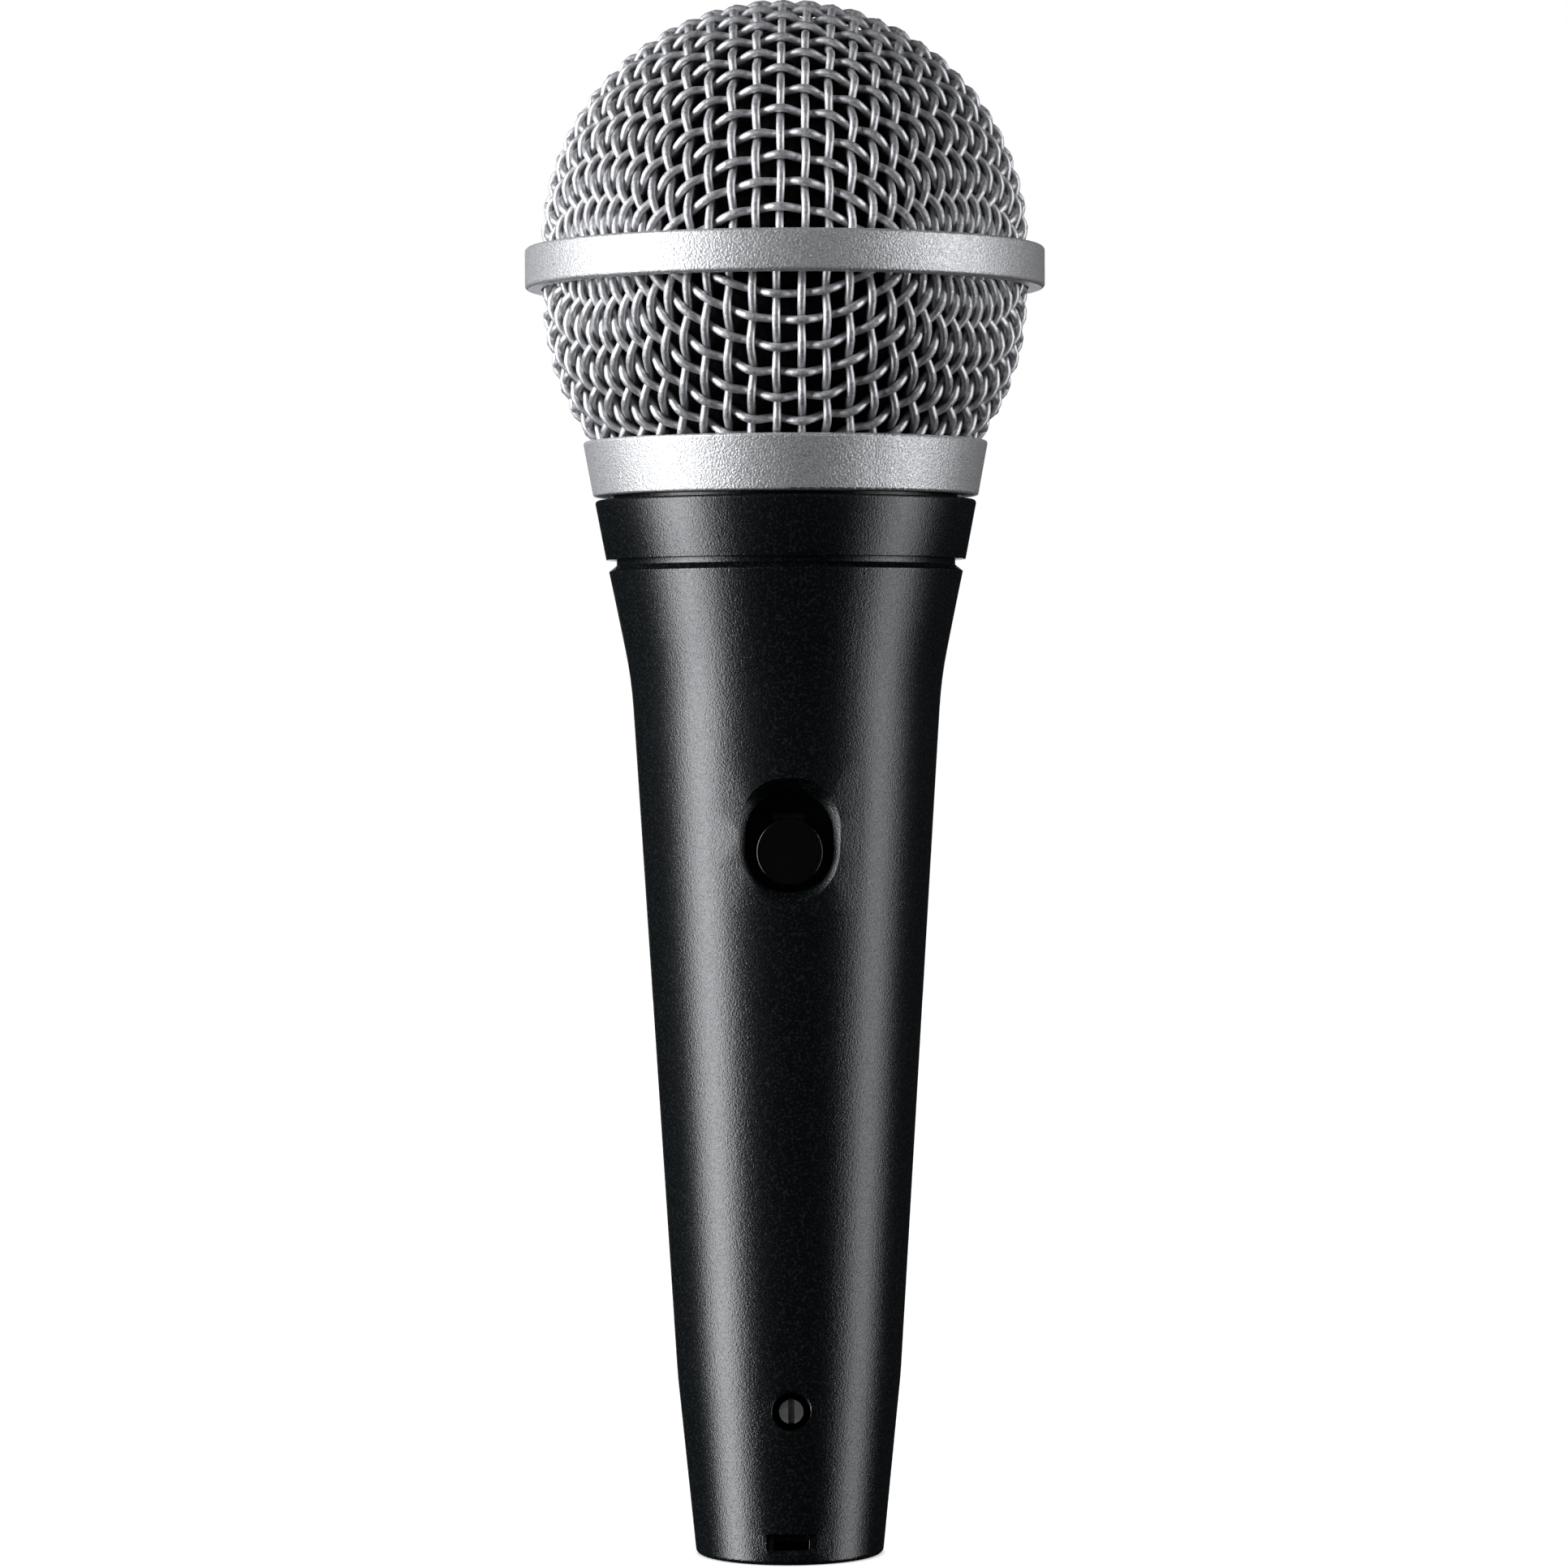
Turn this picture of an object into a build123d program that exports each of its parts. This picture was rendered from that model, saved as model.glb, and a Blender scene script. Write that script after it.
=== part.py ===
"""Handheld dynamic vocal microphone with a slide switch and a three-pin output.

Millimetres. +Z runs up the handle to the grille, the origin is the centre of the
tail's end face, and the switch faces -Y.
"""
import os
from math import cos, pi, radians, sin, sqrt, tan

from build123d import *

os.makedirs("parts", exist_ok=True)

# ---------------------------------------------------------------- clearances
fit_gap = 0.05  # radial gap of pieces seated in each other
thread_gap = 0.08  # radial gap between the collar's thread and the spigot
run_gap = 0.15  # gap along flat faces that slide past each other
edge_gap = 0.1  # gap round the diaphragm's rim in its seat
foam_gap = 0.4  # gap between the foam and the wires

# ---------------------------------------------------------------- cartridge, across
pole_r = 6.6
magnet_inset = 0.2  # the magnet is this much narrower than the pole piece
coil_in_gap = 0.45  # magnetic gap inside the coil
coil_t = 0.5
coil_out_gap = 0.4  # magnetic gap outside the coil
yoke_wall = 2.05
air_gap = 1.6  # between the yoke and the barrel
barrel_wall = 2.9
flange_reach = 0.9
neck_step = 2.0  # the neck is this much narrower than the barrel
neck_wall = 1.5
cup_step = 0.5  # the rear chamber is this much narrower than the neck
seat_lip = 1.2  # the barrel's wall round the diaphragm's seat
skirt_w = 1.2
screen_lap = 0.2
rim_reach = 0.35  # the diaphragm reaches this far past the coil
web_hole_r = 3.0
port_count = 8
port_w = 3.0
port_h = 2.6
port_reach = 1.0  # the ports' cutter runs past the barrel's wall by this much
felt_t = 0.55
felt_h = 4.8
cap_edge_r = 0.5
cap_hole_r = 1.3
cap_hole_ring_r = 6.2
cap_hole_count = 6
cap_slot_ring_r = 10.3
cap_slot_count = 12
cap_slot_r = 0.8
rear_cup_wall = 1.2
lug_r = 0.7
lug_x = 3.5
lug_y = 5.0

magnet_r = pole_r - magnet_inset
coil_in_r = pole_r + coil_in_gap
coil_out_r = coil_in_r + coil_t
yoke_bore_r = coil_out_r + coil_out_gap
yoke_r = yoke_bore_r + yoke_wall
barrel_bore_r = yoke_r + air_gap
barrel_r = barrel_bore_r + barrel_wall
flange_r = barrel_r + flange_reach
housing_neck_r = barrel_r - neck_step
housing_neck_bore_r = housing_neck_r - neck_wall
rear_cup_r = housing_neck_r - cup_step
surround_seat_r = barrel_r - seat_lip
rim_out_r = coil_out_r + rim_reach
foot_in_r = barrel_bore_r + edge_gap
foot_out_r = surround_seat_r - edge_gap
cap_skirt_in_r = foot_out_r - skirt_w
screen_r = cap_skirt_in_r - screen_lap

# ---------------------------------------------------------------- collars, across
flange_room = 1.0  # between the cartridge's flange and the bore of the collar's spigot
thread_wall = 1.9
silver_wall = 1.62
silver_flare = 1.05
silver_rim_wall = 0.6
silver_ledge_lap = 1.3  # the ledge reaches this far inside the thread
collar_inset = 0.15  # the black collar stands this far inside the silver one
collar_flare = 1.15
shoulder_inset = 0.3
groove_depth = 1.1
spigot_inset = 2.4  # the lower spigot is this much inside the groove's floor
bore_room = 0.5  # between the cartridge's neck and the collar's bore
cavity_ledge = 1.0
mount_web_t = 1.4
mount_lip_h = 1.6
thread_run_out = 0.4  # depth of the relief below the thread

thread_bore_r = flange_r + flange_room
thread_r = thread_bore_r + thread_wall
silver_low_r = thread_r + thread_gap + silver_wall
silver_top_r = silver_low_r + silver_flare
silver_rim_r = silver_top_r - silver_rim_wall
silver_ledge_r = thread_r - silver_ledge_lap
collar_top_r = silver_low_r - collar_inset
collar_low_r = collar_top_r - collar_flare
shoulder_r = collar_low_r - shoulder_inset
neck_r = collar_low_r - groove_depth
spigot_r = neck_r - spigot_inset
cavity_top_r = spigot_r - cavity_ledge
collar_bore_r = housing_neck_r + bore_room
mount_out_r = thread_bore_r - fit_gap

# ---------------------------------------------------------------- output connector
socket_r = 8.1  # bore for the cable plug's nose
socket_mouth_chamfer = 0.3
socket_depth = 13.8  # from the tail's end to the insert's face
insert_h = 7.0
pin_r = 1.2
pin_step = 0.2  # the pins are thicker inside the insert and at their solder cups
pin_tip_z = 4.6
pin_side_x = 4.76  # pins 1 and 2, either side of the middle
pin_side_y = -1.6
pin_back_y = 4.9  # pin 3, on the middle line
pin_cup_h = 5.0
pin_cup_wall = 0.6
pin_cup_depth = 2.5
pin_nose = 0.5
set_screw_up = 2.2  # from the insert's face to the set screw's middle
set_screw_r = 1.25
set_screw_room = 0.75  # round the screw in its hole
set_screw_sink = 0.55  # depth of the screw's face below the handle's surface
set_screw_bevel = 0.22  # bevel round the mouth of the screw's hole
set_screw_in_y = -5.4
set_screw_slot_w = 0.62
set_screw_slot_depth = 0.6
clip_t = 0.4
clip_ring_r = 2.2
clip_w = 1.6
clip_wall_gap = 0.5
clip_tab_h = 3.0

insert_top_z = socket_depth + insert_h
pin_seat_r = pin_r + pin_step
pin_cup_r = pin_seat_r - pin_cup_wall
pin_top_z = insert_top_z + pin_cup_h
set_screw_z = socket_depth + set_screw_up
set_screw_hole_r = set_screw_r + set_screw_room
clip_end_x = socket_r - clip_wall_gap

# ---------------------------------------------------------------- handle
handle_top_z = 102.85
tail_wall = 1.65
knee_z = 18.8  # the steep tail taper ends here
knee_flare = 1.9
shoulder_h = 11.75  # the main taper turns into the shoulder this far below the top
shoulder_flare = 2.27
flare_blend_r = 45.0
shoulder_chamfer_h = 0.65
rim_edge_r = 0.12  # the small round on the collar's and the handle's rims
tail_edge_r = 0.6
bore_top_gap = 3.2  # plain bore left above the insert
cavity_step_h = 3.0
cavity_step_w = 1.8
spigot_h = 6.85
window_latch_w = 5.2
window_latch_low_z = 1.1
window_latch_top_z = 3.3
window_latch_corner_r = 0.8
window_latch_sink = 0.5
latch_slot_w = 3.7
latch_slot_up = 0.4

tail_r = socket_r + tail_wall
knee_r = tail_r + knee_flare
flare_z = handle_top_z - shoulder_h
flare_r = shoulder_r - shoulder_flare
bore_top_z = insert_top_z + bore_top_gap
cavity_low_z = bore_top_z + cavity_step_h
cavity_low_r = socket_r + cavity_step_w
spigot_low_z = handle_top_z - spigot_h
latch_slot_low_z = window_latch_low_z + latch_slot_up

# ---------------------------------------------------------------- switch recess and knob
knob_drop = 29.45  # from the handle's top to the knob's middle
knob_r = 3.375
knob_sink = 0.733  # depth of the knob's face below the handle's surface
knob_edge = 0.14
switch_travel = 2.0
window_side_gap = 1.125  # between the knob and the window's sides
window_end_gap = 0.825  # between the knob and the window's ends, at its travel's ends
window_flat = 0.1  # straight stretch left on each half of the window's ends
window_sink = 1.533  # depth of the bevel's inner edge below the surface
bevel_reach = 1.467  # the bevel's cutter reaches this far outside the surface
bevel_slope = 1.0  # sideways run of the bevel for each unit of depth
bevel_top_slope = 0.665
bevel_low_slope = 0.762

knob_z = handle_top_z - knob_drop
switch_z = knob_z + switch_travel / 2  # the middle of the knob's travel
window_w = 2 * (knob_r + window_side_gap)
window_low_z = knob_z - knob_r - window_end_gap
window_top_z = knob_z + switch_travel + knob_r + window_end_gap
window_corner_r = window_w / 2 - window_flat
switch_surface_r = knee_r + (flare_r - knee_r) * (knob_z - knee_z) / (flare_z - knee_z)
knob_face_r = switch_surface_r - knob_sink
window_floor_r = switch_surface_r - window_sink
bevel_out_r = switch_surface_r + bevel_reach

# ---------------------------------------------------------------- switch carrier and board
carrier_sink = 3.833  # depth of the carrier's front face below the handle's surface
carrier_t = 1.2
carrier_w = 14.4
carrier_drop = 11.0  # from the knob's middle to the carrier's lower end
carrier_h = 24.4
rail_t = 1.25
rail_reach = 1.1  # how far a rail's lip overlaps the carrier's edge
rail_body_w = 3.0
stem_w = 2.9
stem_h = 3.3
stem_slot_gap = 0.2
tab_w = 1.8
tab_h = 2.2
tab_grip = 1.8  # depth of the tab's socket in the stem
tab_show = 0.1  # the stem's end stands this far outside the switch
slider_base_w = 4.2
slider_base_h = 4.4
slider_base_t = 1.0
switch_w = 6.4
switch_h = 10.0
switch_t = 4.4
switch_skin = 0.5
switch_stem_gap = 0.3
board_w = 12.0
board_t = 1.6
post_r = 1.7
post_inset = 1.8  # from the carrier's ends to its posts' centres
screw_r = 0.8
screw_head_r = 1.6
screw_head_h = 1.0
screw_bite = 4.0
screw_slot_w = 0.4
screw_slot_depth = 0.5
terminal_r = 0.4
terminal_pitch_x = 3.0
terminal_pitch_z = 2.8
terminal_len = 2.6

carrier_face_r = switch_surface_r - carrier_sink
carrier_low_z = knob_z - carrier_drop
carrier_top_z = carrier_low_z + carrier_h
carrier_back_y = -(carrier_face_r - carrier_t)
switch_front_y = carrier_back_y + switch_stem_gap + tab_grip - tab_show
board_front_y = switch_front_y + switch_t
board_back_y = board_front_y + board_t

# ---------------------------------------------------------------- collars, along the axis
collar_groove_h = 0.55
collar_h = 6.2
collar_edge_r = 0.3
seat_floor_t = 0.8
thread_seam = 0.4  # visible gap between the two collars
thread_h = 3.5
silver_h = 5.7
silver_low_edge = 0.3
silver_top_edge = 0.3
silver_stop_gap = 0.1
silver_ledge_h = 0.6

collar_low_z = handle_top_z + collar_groove_h
collar_top_z = collar_low_z + collar_h
silver_low_z = collar_top_z + thread_seam
silver_top_z = silver_low_z + silver_h
thread_top_z = silver_low_z + thread_h - silver_stop_gap
silver_ledge_z = silver_low_z + thread_h
silver_rim_z = silver_ledge_z + silver_ledge_h
mount_seat_z = collar_low_z + seat_floor_t

# ---------------------------------------------------------------- cartridge, along the axis
mount_h = 7.4
neck_below = 5.2  # the neck reaches this far below the mount's seat
flange_h = 1.6
barrel_h = 20.4  # from the flange's underside to the barrel's top
seat_depth = 2.8
web_h = 2.0
yoke_h = 10.6
yoke_base_h = 2.2
yoke_drop = 1.0  # from the diaphragm's seat to the yoke's top
magnet_h = 5.8
port_drop = 8.2  # from the diaphragm's seat to the ports' middle
coil_h = 4.6
film_t = 0.15
coil_lift = 0.2  # the diaphragm's rim stands this much above the surround's seat
dome_rise = 1.6
roll_rise = 0.9
cap_h = 1.6
screen_t = 0.3
rear_cup_h = 8.0
rear_cup_floor = 1.5
lug_h = 2.5

flange_z = mount_seat_z + mount_h
housing_low_z = mount_seat_z - neck_below
barrel_top_z = flange_z + barrel_h
surround_seat_z = barrel_top_z - seat_depth
rim_z = surround_seat_z + coil_lift
yoke_top_z = surround_seat_z - yoke_drop
yoke_low_z = yoke_top_z - yoke_h
web_low_z = yoke_low_z - web_h
pole_low_z = yoke_low_z + yoke_base_h + magnet_h
port_z = surround_seat_z - port_drop
cap_low_z = barrel_top_z
rear_cup_low_z = housing_low_z - rear_cup_h

# ---------------------------------------------------------------- grille
wire_d = 0.8
dome_r = 25.4
basket_step = 0.13  # the basket is this much smaller than the dome
basket_rim_gap = 0.062  # between the basket and the collar's rim
basket_bulge_degrees = 25  # a point of the basket's outline, this far below its equator
dome_shift = 5.47  # from the basket's centre up to the dome's
ring_shift = 0.87  # from the basket's centre up to the ring
ring_h = 4.25
ring_stand = 1.6  # the ring stands out this far from the dome
ring_edge_r = 0.4
ring_web_h = 0.4
ring_web_inset = 0.1
foam_t = 4.0
foam_lip_w = 1.097  # width of the foam's foot, round its mouth
foam_mouth_share = 0.524  # place of the foam's mouth between the barrel and the foam's hollow

mesh_t = 2 * wire_d
basket_r = dome_r - basket_step
basket_foot_z = silver_rim_z + fit_gap
basket_centre_z = silver_top_z + sqrt(basket_r**2 - (silver_rim_r - basket_rim_gap) ** 2)
dome_centre_z = basket_centre_z + dome_shift
ring_low_z = basket_centre_z + ring_shift
ring_top_z = ring_low_z + ring_h
ring_r = dome_r + ring_stand
ring_web_r = dome_r - mesh_t + ring_web_inset
web_z = (ring_low_z + ring_top_z) / 2
foam_skin_r = basket_r - mesh_t - foam_gap
foam_hollow_r = foam_skin_r - foam_t
foam_mouth_r = barrel_r + foam_mouth_share * (foam_hollow_r - barrel_r)
foam_low_z = basket_centre_z - sqrt(foam_skin_r**2 - (foam_mouth_r + foam_lip_w) ** 2)

# ---------------------------------------------------------------- leads
lead_r = 0.5
arc_share = 0.45  # share of the shorter run that an arc takes on each side of its point
pad_x = 3.5
output_pad_up = 5.6  # from the board's lower end
input_pad_down = 6.8  # from the board's upper end
ground_y = 5.2  # each output lead first runs back to this y
hot_y = 5.6
cold_y = 6.4
ground_bend = (-5.0, 5.5)  # x and y of each output lead's middle bend
hot_bend = (4.9, 5.9)
cold_bend = (-0.6, 7.6)
ground_bend_drop = 14.0  # from the pads down to each middle bend
hot_bend_drop = 13.0
cold_bend_drop = 14.5
ground_rise = 12.7  # from the cups' tops up to each lowest bend
hot_rise = 13.7
cold_rise = 13.2

output_pad_z = carrier_low_z + output_pad_up
input_pad_z = carrier_top_z - input_pad_down


def tail_surface_r(z):
    """The handle's outer radius on its tail taper."""
    return tail_r + (knee_r - tail_r) * z / knee_z


def save(builder, name):
    """Label a finished sub-part and write its STEP file."""
    builder.part.label = name
    export_step(builder.part, f"parts/{name}.step")


def turn(points, mode=Mode.ADD):
    """Revolve a closed outline of (radius, height) points about Z."""
    with BuildSketch(Plane.XZ) as profile:
        with BuildLine():
            Polyline(*points, close=True)
        make_face()
    revolve(profile.sketch, axis=Axis.Z, mode=mode)


def tube(r_in, r_out, z_low, z_top, mode=Mode.ADD):
    """A plain ring about Z."""
    turn([(r_in, z_low), (r_out, z_low), (r_out, z_top), (r_in, z_top)], mode)


def block(width, y_near, y_far, z_low, z_top, mode=Mode.ADD, x=0.0):
    """A box given by its width about x and its limits along Y and Z."""
    with BuildSketch(Plane.XY.offset(z_low)) as profile:
        with Locations((x, (y_near + y_far) / 2)):
            Rectangle(width, y_far - y_near)
    extrude(profile.sketch, amount=z_top - z_low, mode=mode)


def front_plane(distance):
    """The plane at this distance in front of the axis, seen from the front."""
    return Plane(origin=(0, -distance, 0), x_dir=(1, 0, 0), z_dir=(0, -1, 0))


def round_window(width, z_low, z_top, corner_r):
    """An opening with large round corners on a front plane."""
    with Locations((0, (z_low + z_top) / 2)):
        RectangleRounded(width, z_top - z_low, corner_r)


# ================================================================ handle
with BuildPart() as handle_cavity:
    turn(
        [
            (0, bore_top_z),
            (socket_r, bore_top_z),
            (cavity_low_r, cavity_low_z),
            (cavity_top_r, spigot_low_z),
            (0, spigot_low_z),
        ]
    )
    # the pad behind the switch recess and the two rails of the carrier stay solid
    block(
        2 * carrier_w,
        -2 * carrier_face_r,
        -carrier_face_r,
        carrier_low_z - carrier_t,
        carrier_top_z + carrier_t,
        Mode.SUBTRACT,
    )
    block(
        carrier_w + 2 * run_gap,
        -carrier_face_r,
        carrier_back_y + run_gap,
        carrier_low_z,
        spigot_low_z,
    )
    for side in (-1, 1):
        block(
            rail_body_w + rail_reach,
            carrier_back_y + run_gap,
            carrier_back_y + run_gap + rail_t,
            carrier_low_z,
            carrier_top_z,
            Mode.SUBTRACT,
            side * (carrier_w / 2 + (rail_body_w - rail_reach) / 2),
        )

with BuildPart() as handle_shell:
    with BuildSketch(Plane.XZ):
        with BuildLine():
            shoulder_z = handle_top_z - shoulder_chamfer_h
            FilletPolyline(
                (tail_r, 0),
                (knee_r, knee_z),
                (flare_r, flare_z),
                (shoulder_r, shoulder_z),
                radius=[flare_blend_r, flare_blend_r],
            )
            Polyline(
                (shoulder_r, shoulder_z),
                (neck_r, handle_top_z),
                (0, handle_top_z),
                (0, 0),
                (tail_r, 0),
            )
        make_face()
    revolve(axis=Axis.Z)
    rims = handle_shell.edges().filter_by(GeomType.CIRCLE).sort_by(Axis.Z)
    fillet(rims[0], tail_edge_r)
    rims = handle_shell.edges().filter_by(GeomType.CIRCLE).sort_by(Axis.Z)
    fillet(rims[-2:], rim_edge_r)
    tube(0, socket_r, 0, bore_top_z, Mode.SUBTRACT)
    tail_rims = handle_shell.edges().filter_by(GeomType.CIRCLE).group_by(Axis.Z)[0]
    chamfer(tail_rims.sort_by(SortBy.RADIUS)[0], socket_mouth_chamfer)
    add(handle_cavity.part, mode=Mode.SUBTRACT)
    tube(0, spigot_r + fit_gap, spigot_low_z, handle_top_z, Mode.SUBTRACT)
    # switch recess: a straight window, then a bevel that opens to the surface
    with BuildSketch(front_plane(carrier_face_r - carrier_t)):
        round_window(window_w, window_low_z, window_top_z, window_corner_r)
    extrude(amount=window_floor_r - carrier_face_r + carrier_t, mode=Mode.SUBTRACT)
    bevel_run = bevel_out_r - window_floor_r
    with BuildSketch(front_plane(window_floor_r)):
        round_window(window_w, window_low_z, window_top_z, window_corner_r)
    with BuildSketch(front_plane(bevel_out_r)):
        round_window(
            window_w + 2 * bevel_slope * bevel_run,
            window_low_z - bevel_low_slope * bevel_run,
            window_top_z + bevel_top_slope * bevel_run,
            window_corner_r + bevel_top_slope * bevel_run,
        )
    loft(mode=Mode.SUBTRACT)
    # hole for the set screw
    with BuildSketch(front_plane(0)):
        with Locations((0, set_screw_z)):
            Circle(set_screw_hole_r)
    extrude(amount=knee_r + fit_gap, mode=Mode.SUBTRACT)
    hole_mouth_r = tail_surface_r(set_screw_z)
    with BuildSketch(front_plane(hole_mouth_r - set_screw_bevel)):
        with Locations((0, set_screw_z)):
            Circle(set_screw_hole_r)
    with BuildSketch(front_plane(hole_mouth_r + set_screw_bevel)):
        with Locations((0, set_screw_z)):
            Circle(set_screw_hole_r + 2 * set_screw_bevel)
    loft(mode=Mode.SUBTRACT)
    # latch window: a shallow step and a slot through the wall
    window_mid_z = (window_latch_low_z + window_latch_top_z) / 2
    with BuildSketch(front_plane(tail_surface_r(window_mid_z) - window_latch_sink)):
        with BuildLine():
            half = window_latch_w / 2
            FilletPolyline(
                (-half, window_latch_top_z),
                (-half, window_latch_low_z),
                (half, window_latch_low_z),
                (half, window_latch_top_z),
                radius=window_latch_corner_r,
            )
            Line((half, window_latch_top_z), (-half, window_latch_top_z))
        make_face()
    extrude(amount=2 * window_latch_sink, mode=Mode.SUBTRACT)
    block(
        latch_slot_w,
        -tail_surface_r(window_mid_z),
        -socket_r / 2,
        latch_slot_low_z,
        window_latch_top_z,
        Mode.SUBTRACT,
    )
save(handle_shell, "handle_shell")

# ================================================================ black collar
with BuildPart() as name_collar:
    turn(
        [
            (collar_bore_r, spigot_low_z + fit_gap),
            (spigot_r, spigot_low_z + fit_gap),
            (spigot_r, handle_top_z),
            (neck_r, handle_top_z),
            (neck_r, collar_low_z),
            (collar_low_r, collar_low_z),
            (collar_top_r, collar_top_z),
            (thread_r - thread_run_out, collar_top_z),
            (thread_r - thread_run_out, silver_low_z),
            (thread_r, silver_low_z),
            (thread_r, thread_top_z),
            (thread_bore_r, thread_top_z),
            (thread_bore_r, mount_seat_z),
            (collar_bore_r, mount_seat_z),
        ]
    )
    top_rim = name_collar.edges().filter_by(GeomType.CIRCLE).sort_by(SortBy.RADIUS)[-1]
    fillet(top_rim, collar_edge_r)
    low_rims = name_collar.edges().filter_by(GeomType.CIRCLE)
    low_rims = low_rims.filter_by_position(Axis.Z, collar_low_z - fit_gap, collar_low_z + fit_gap)
    fillet(low_rims.sort_by(SortBy.RADIUS)[-1], rim_edge_r)
save(name_collar, "name_collar")

# ================================================================ output connector
pin_places = {
    "xlr_pin_1": (-pin_side_x, pin_side_y),
    "xlr_pin_2": (pin_side_x, pin_side_y),
    "xlr_pin_3": (0, pin_back_y),
}

with BuildPart() as xlr_insert:
    tube(0, socket_r - fit_gap, socket_depth, insert_top_z)
    with BuildSketch(Plane.XY.offset(socket_depth)):
        with Locations(*pin_places.values()):
            Circle(pin_seat_r + fit_gap / 2)
    extrude(amount=insert_h, mode=Mode.SUBTRACT)
    with BuildSketch(front_plane(-set_screw_in_y - set_screw_slot_depth)):
        with Locations((0, set_screw_z)):
            Circle(set_screw_r + fit_gap / 2)
    extrude(amount=socket_r, mode=Mode.SUBTRACT)
save(xlr_insert, "xlr_insert")


def make_pin(place):
    """A contact pin with a thicker seat and a solder cup above."""
    with BuildSketch(Plane.XY.offset(pin_tip_z)) as rod:
        with Locations(place):
            Circle(pin_r)
    extrude(rod.sketch, amount=socket_depth - pin_tip_z)
    with BuildSketch(Plane.XY.offset(socket_depth)) as seat:
        with Locations(place):
            Circle(pin_seat_r)
    extrude(seat.sketch, amount=pin_top_z - socket_depth)
    with BuildSketch(Plane.XY.offset(pin_top_z - pin_cup_depth)) as cup:
        with Locations(place):
            Circle(pin_cup_r)
    extrude(cup.sketch, amount=pin_cup_depth, mode=Mode.SUBTRACT)


for pin_name, pin_place in pin_places.items():
    with BuildPart() as xlr_pin:
        make_pin(pin_place)
        fillet(xlr_pin.edges().sort_by(Axis.Z)[0], pin_nose)
    save(xlr_pin, pin_name)

with BuildPart() as ground_clip:
    with BuildSketch(Plane.XY.offset(insert_top_z)):
        with Locations((-pin_side_x, pin_side_y)):
            Circle(clip_ring_r)
        with Locations(((-pin_side_x - clip_end_x) / 2, pin_side_y)):
            Rectangle(clip_end_x - pin_side_x, clip_w)
        with Locations((-pin_side_x, pin_side_y)):
            Circle(pin_seat_r + fit_gap / 2, mode=Mode.SUBTRACT)
    extrude(amount=clip_t)
    block(
        clip_t,
        pin_side_y - clip_w / 2,
        pin_side_y + clip_w / 2,
        insert_top_z,
        insert_top_z + clip_tab_h,
        x=-clip_end_x + clip_t / 2,
    )
save(ground_clip, "ground_clip")

with BuildPart() as insert_set_screw:
    screw_face_r = tail_surface_r(set_screw_z) - set_screw_sink
    with BuildSketch(front_plane(-set_screw_in_y)):
        with Locations((0, set_screw_z)):
            Circle(set_screw_r)
    extrude(amount=screw_face_r + set_screw_in_y)
    block(
        set_screw_slot_w,
        -screw_face_r,
        -screw_face_r + set_screw_slot_depth,
        set_screw_z - 2 * set_screw_r,
        set_screw_z + 2 * set_screw_r,
        Mode.SUBTRACT,
    )
save(insert_set_screw, "insert_set_screw")

# ================================================================ switch
post_places = ((0, carrier_low_z + post_inset), (0, carrier_top_z - post_inset))

with BuildPart() as switch_carrier:
    block(carrier_w, -carrier_face_r, carrier_back_y, carrier_low_z, carrier_top_z)
    with BuildSketch(front_plane(-board_front_y)):
        with Locations(*post_places):
            Circle(post_r)
    extrude(amount=board_front_y - carrier_back_y)
    with BuildSketch(front_plane(-board_front_y)):
        with Locations(*post_places):
            Circle(screw_r + fit_gap / 2)
    extrude(amount=screw_bite, mode=Mode.SUBTRACT)
    slot_h = stem_h + switch_travel + 2 * stem_slot_gap
    block(
        stem_w + 2 * stem_slot_gap,
        -carrier_face_r,
        carrier_back_y,
        switch_z - slot_h / 2,
        switch_z + slot_h / 2,
        Mode.SUBTRACT,
    )
save(switch_carrier, "switch_carrier")

stem_end_y = switch_front_y - switch_stem_gap

with BuildPart() as switch_knob:
    with BuildSketch(front_plane(carrier_face_r + run_gap)):
        with Locations((0, knob_z)):
            Circle(knob_r)
    extrude(amount=knob_face_r - carrier_face_r - run_gap)
    fillet(switch_knob.edges().sort_by(Axis.Y)[0], knob_edge)
    block(
        stem_w,
        -carrier_face_r - run_gap,
        stem_end_y,
        knob_z - stem_h / 2,
        knob_z + stem_h / 2,
    )
    block(
        tab_w + 2 * fit_gap,
        stem_end_y - tab_grip,
        stem_end_y,
        knob_z - tab_h / 2 - fit_gap,
        knob_z + tab_h / 2 + fit_gap,
        Mode.SUBTRACT,
    )
save(switch_knob, "switch_knob")

tab_front_y = stem_end_y - tab_grip + fit_gap
slider_base_y = switch_front_y + switch_skin + run_gap

with BuildPart() as switch_slider:
    block(tab_w, tab_front_y, slider_base_y, knob_z - tab_h / 2, knob_z + tab_h / 2)
    block(
        slider_base_w,
        slider_base_y,
        slider_base_y + slider_base_t,
        knob_z - slider_base_h / 2,
        knob_z + slider_base_h / 2,
    )
save(switch_slider, "switch_slider")

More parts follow.
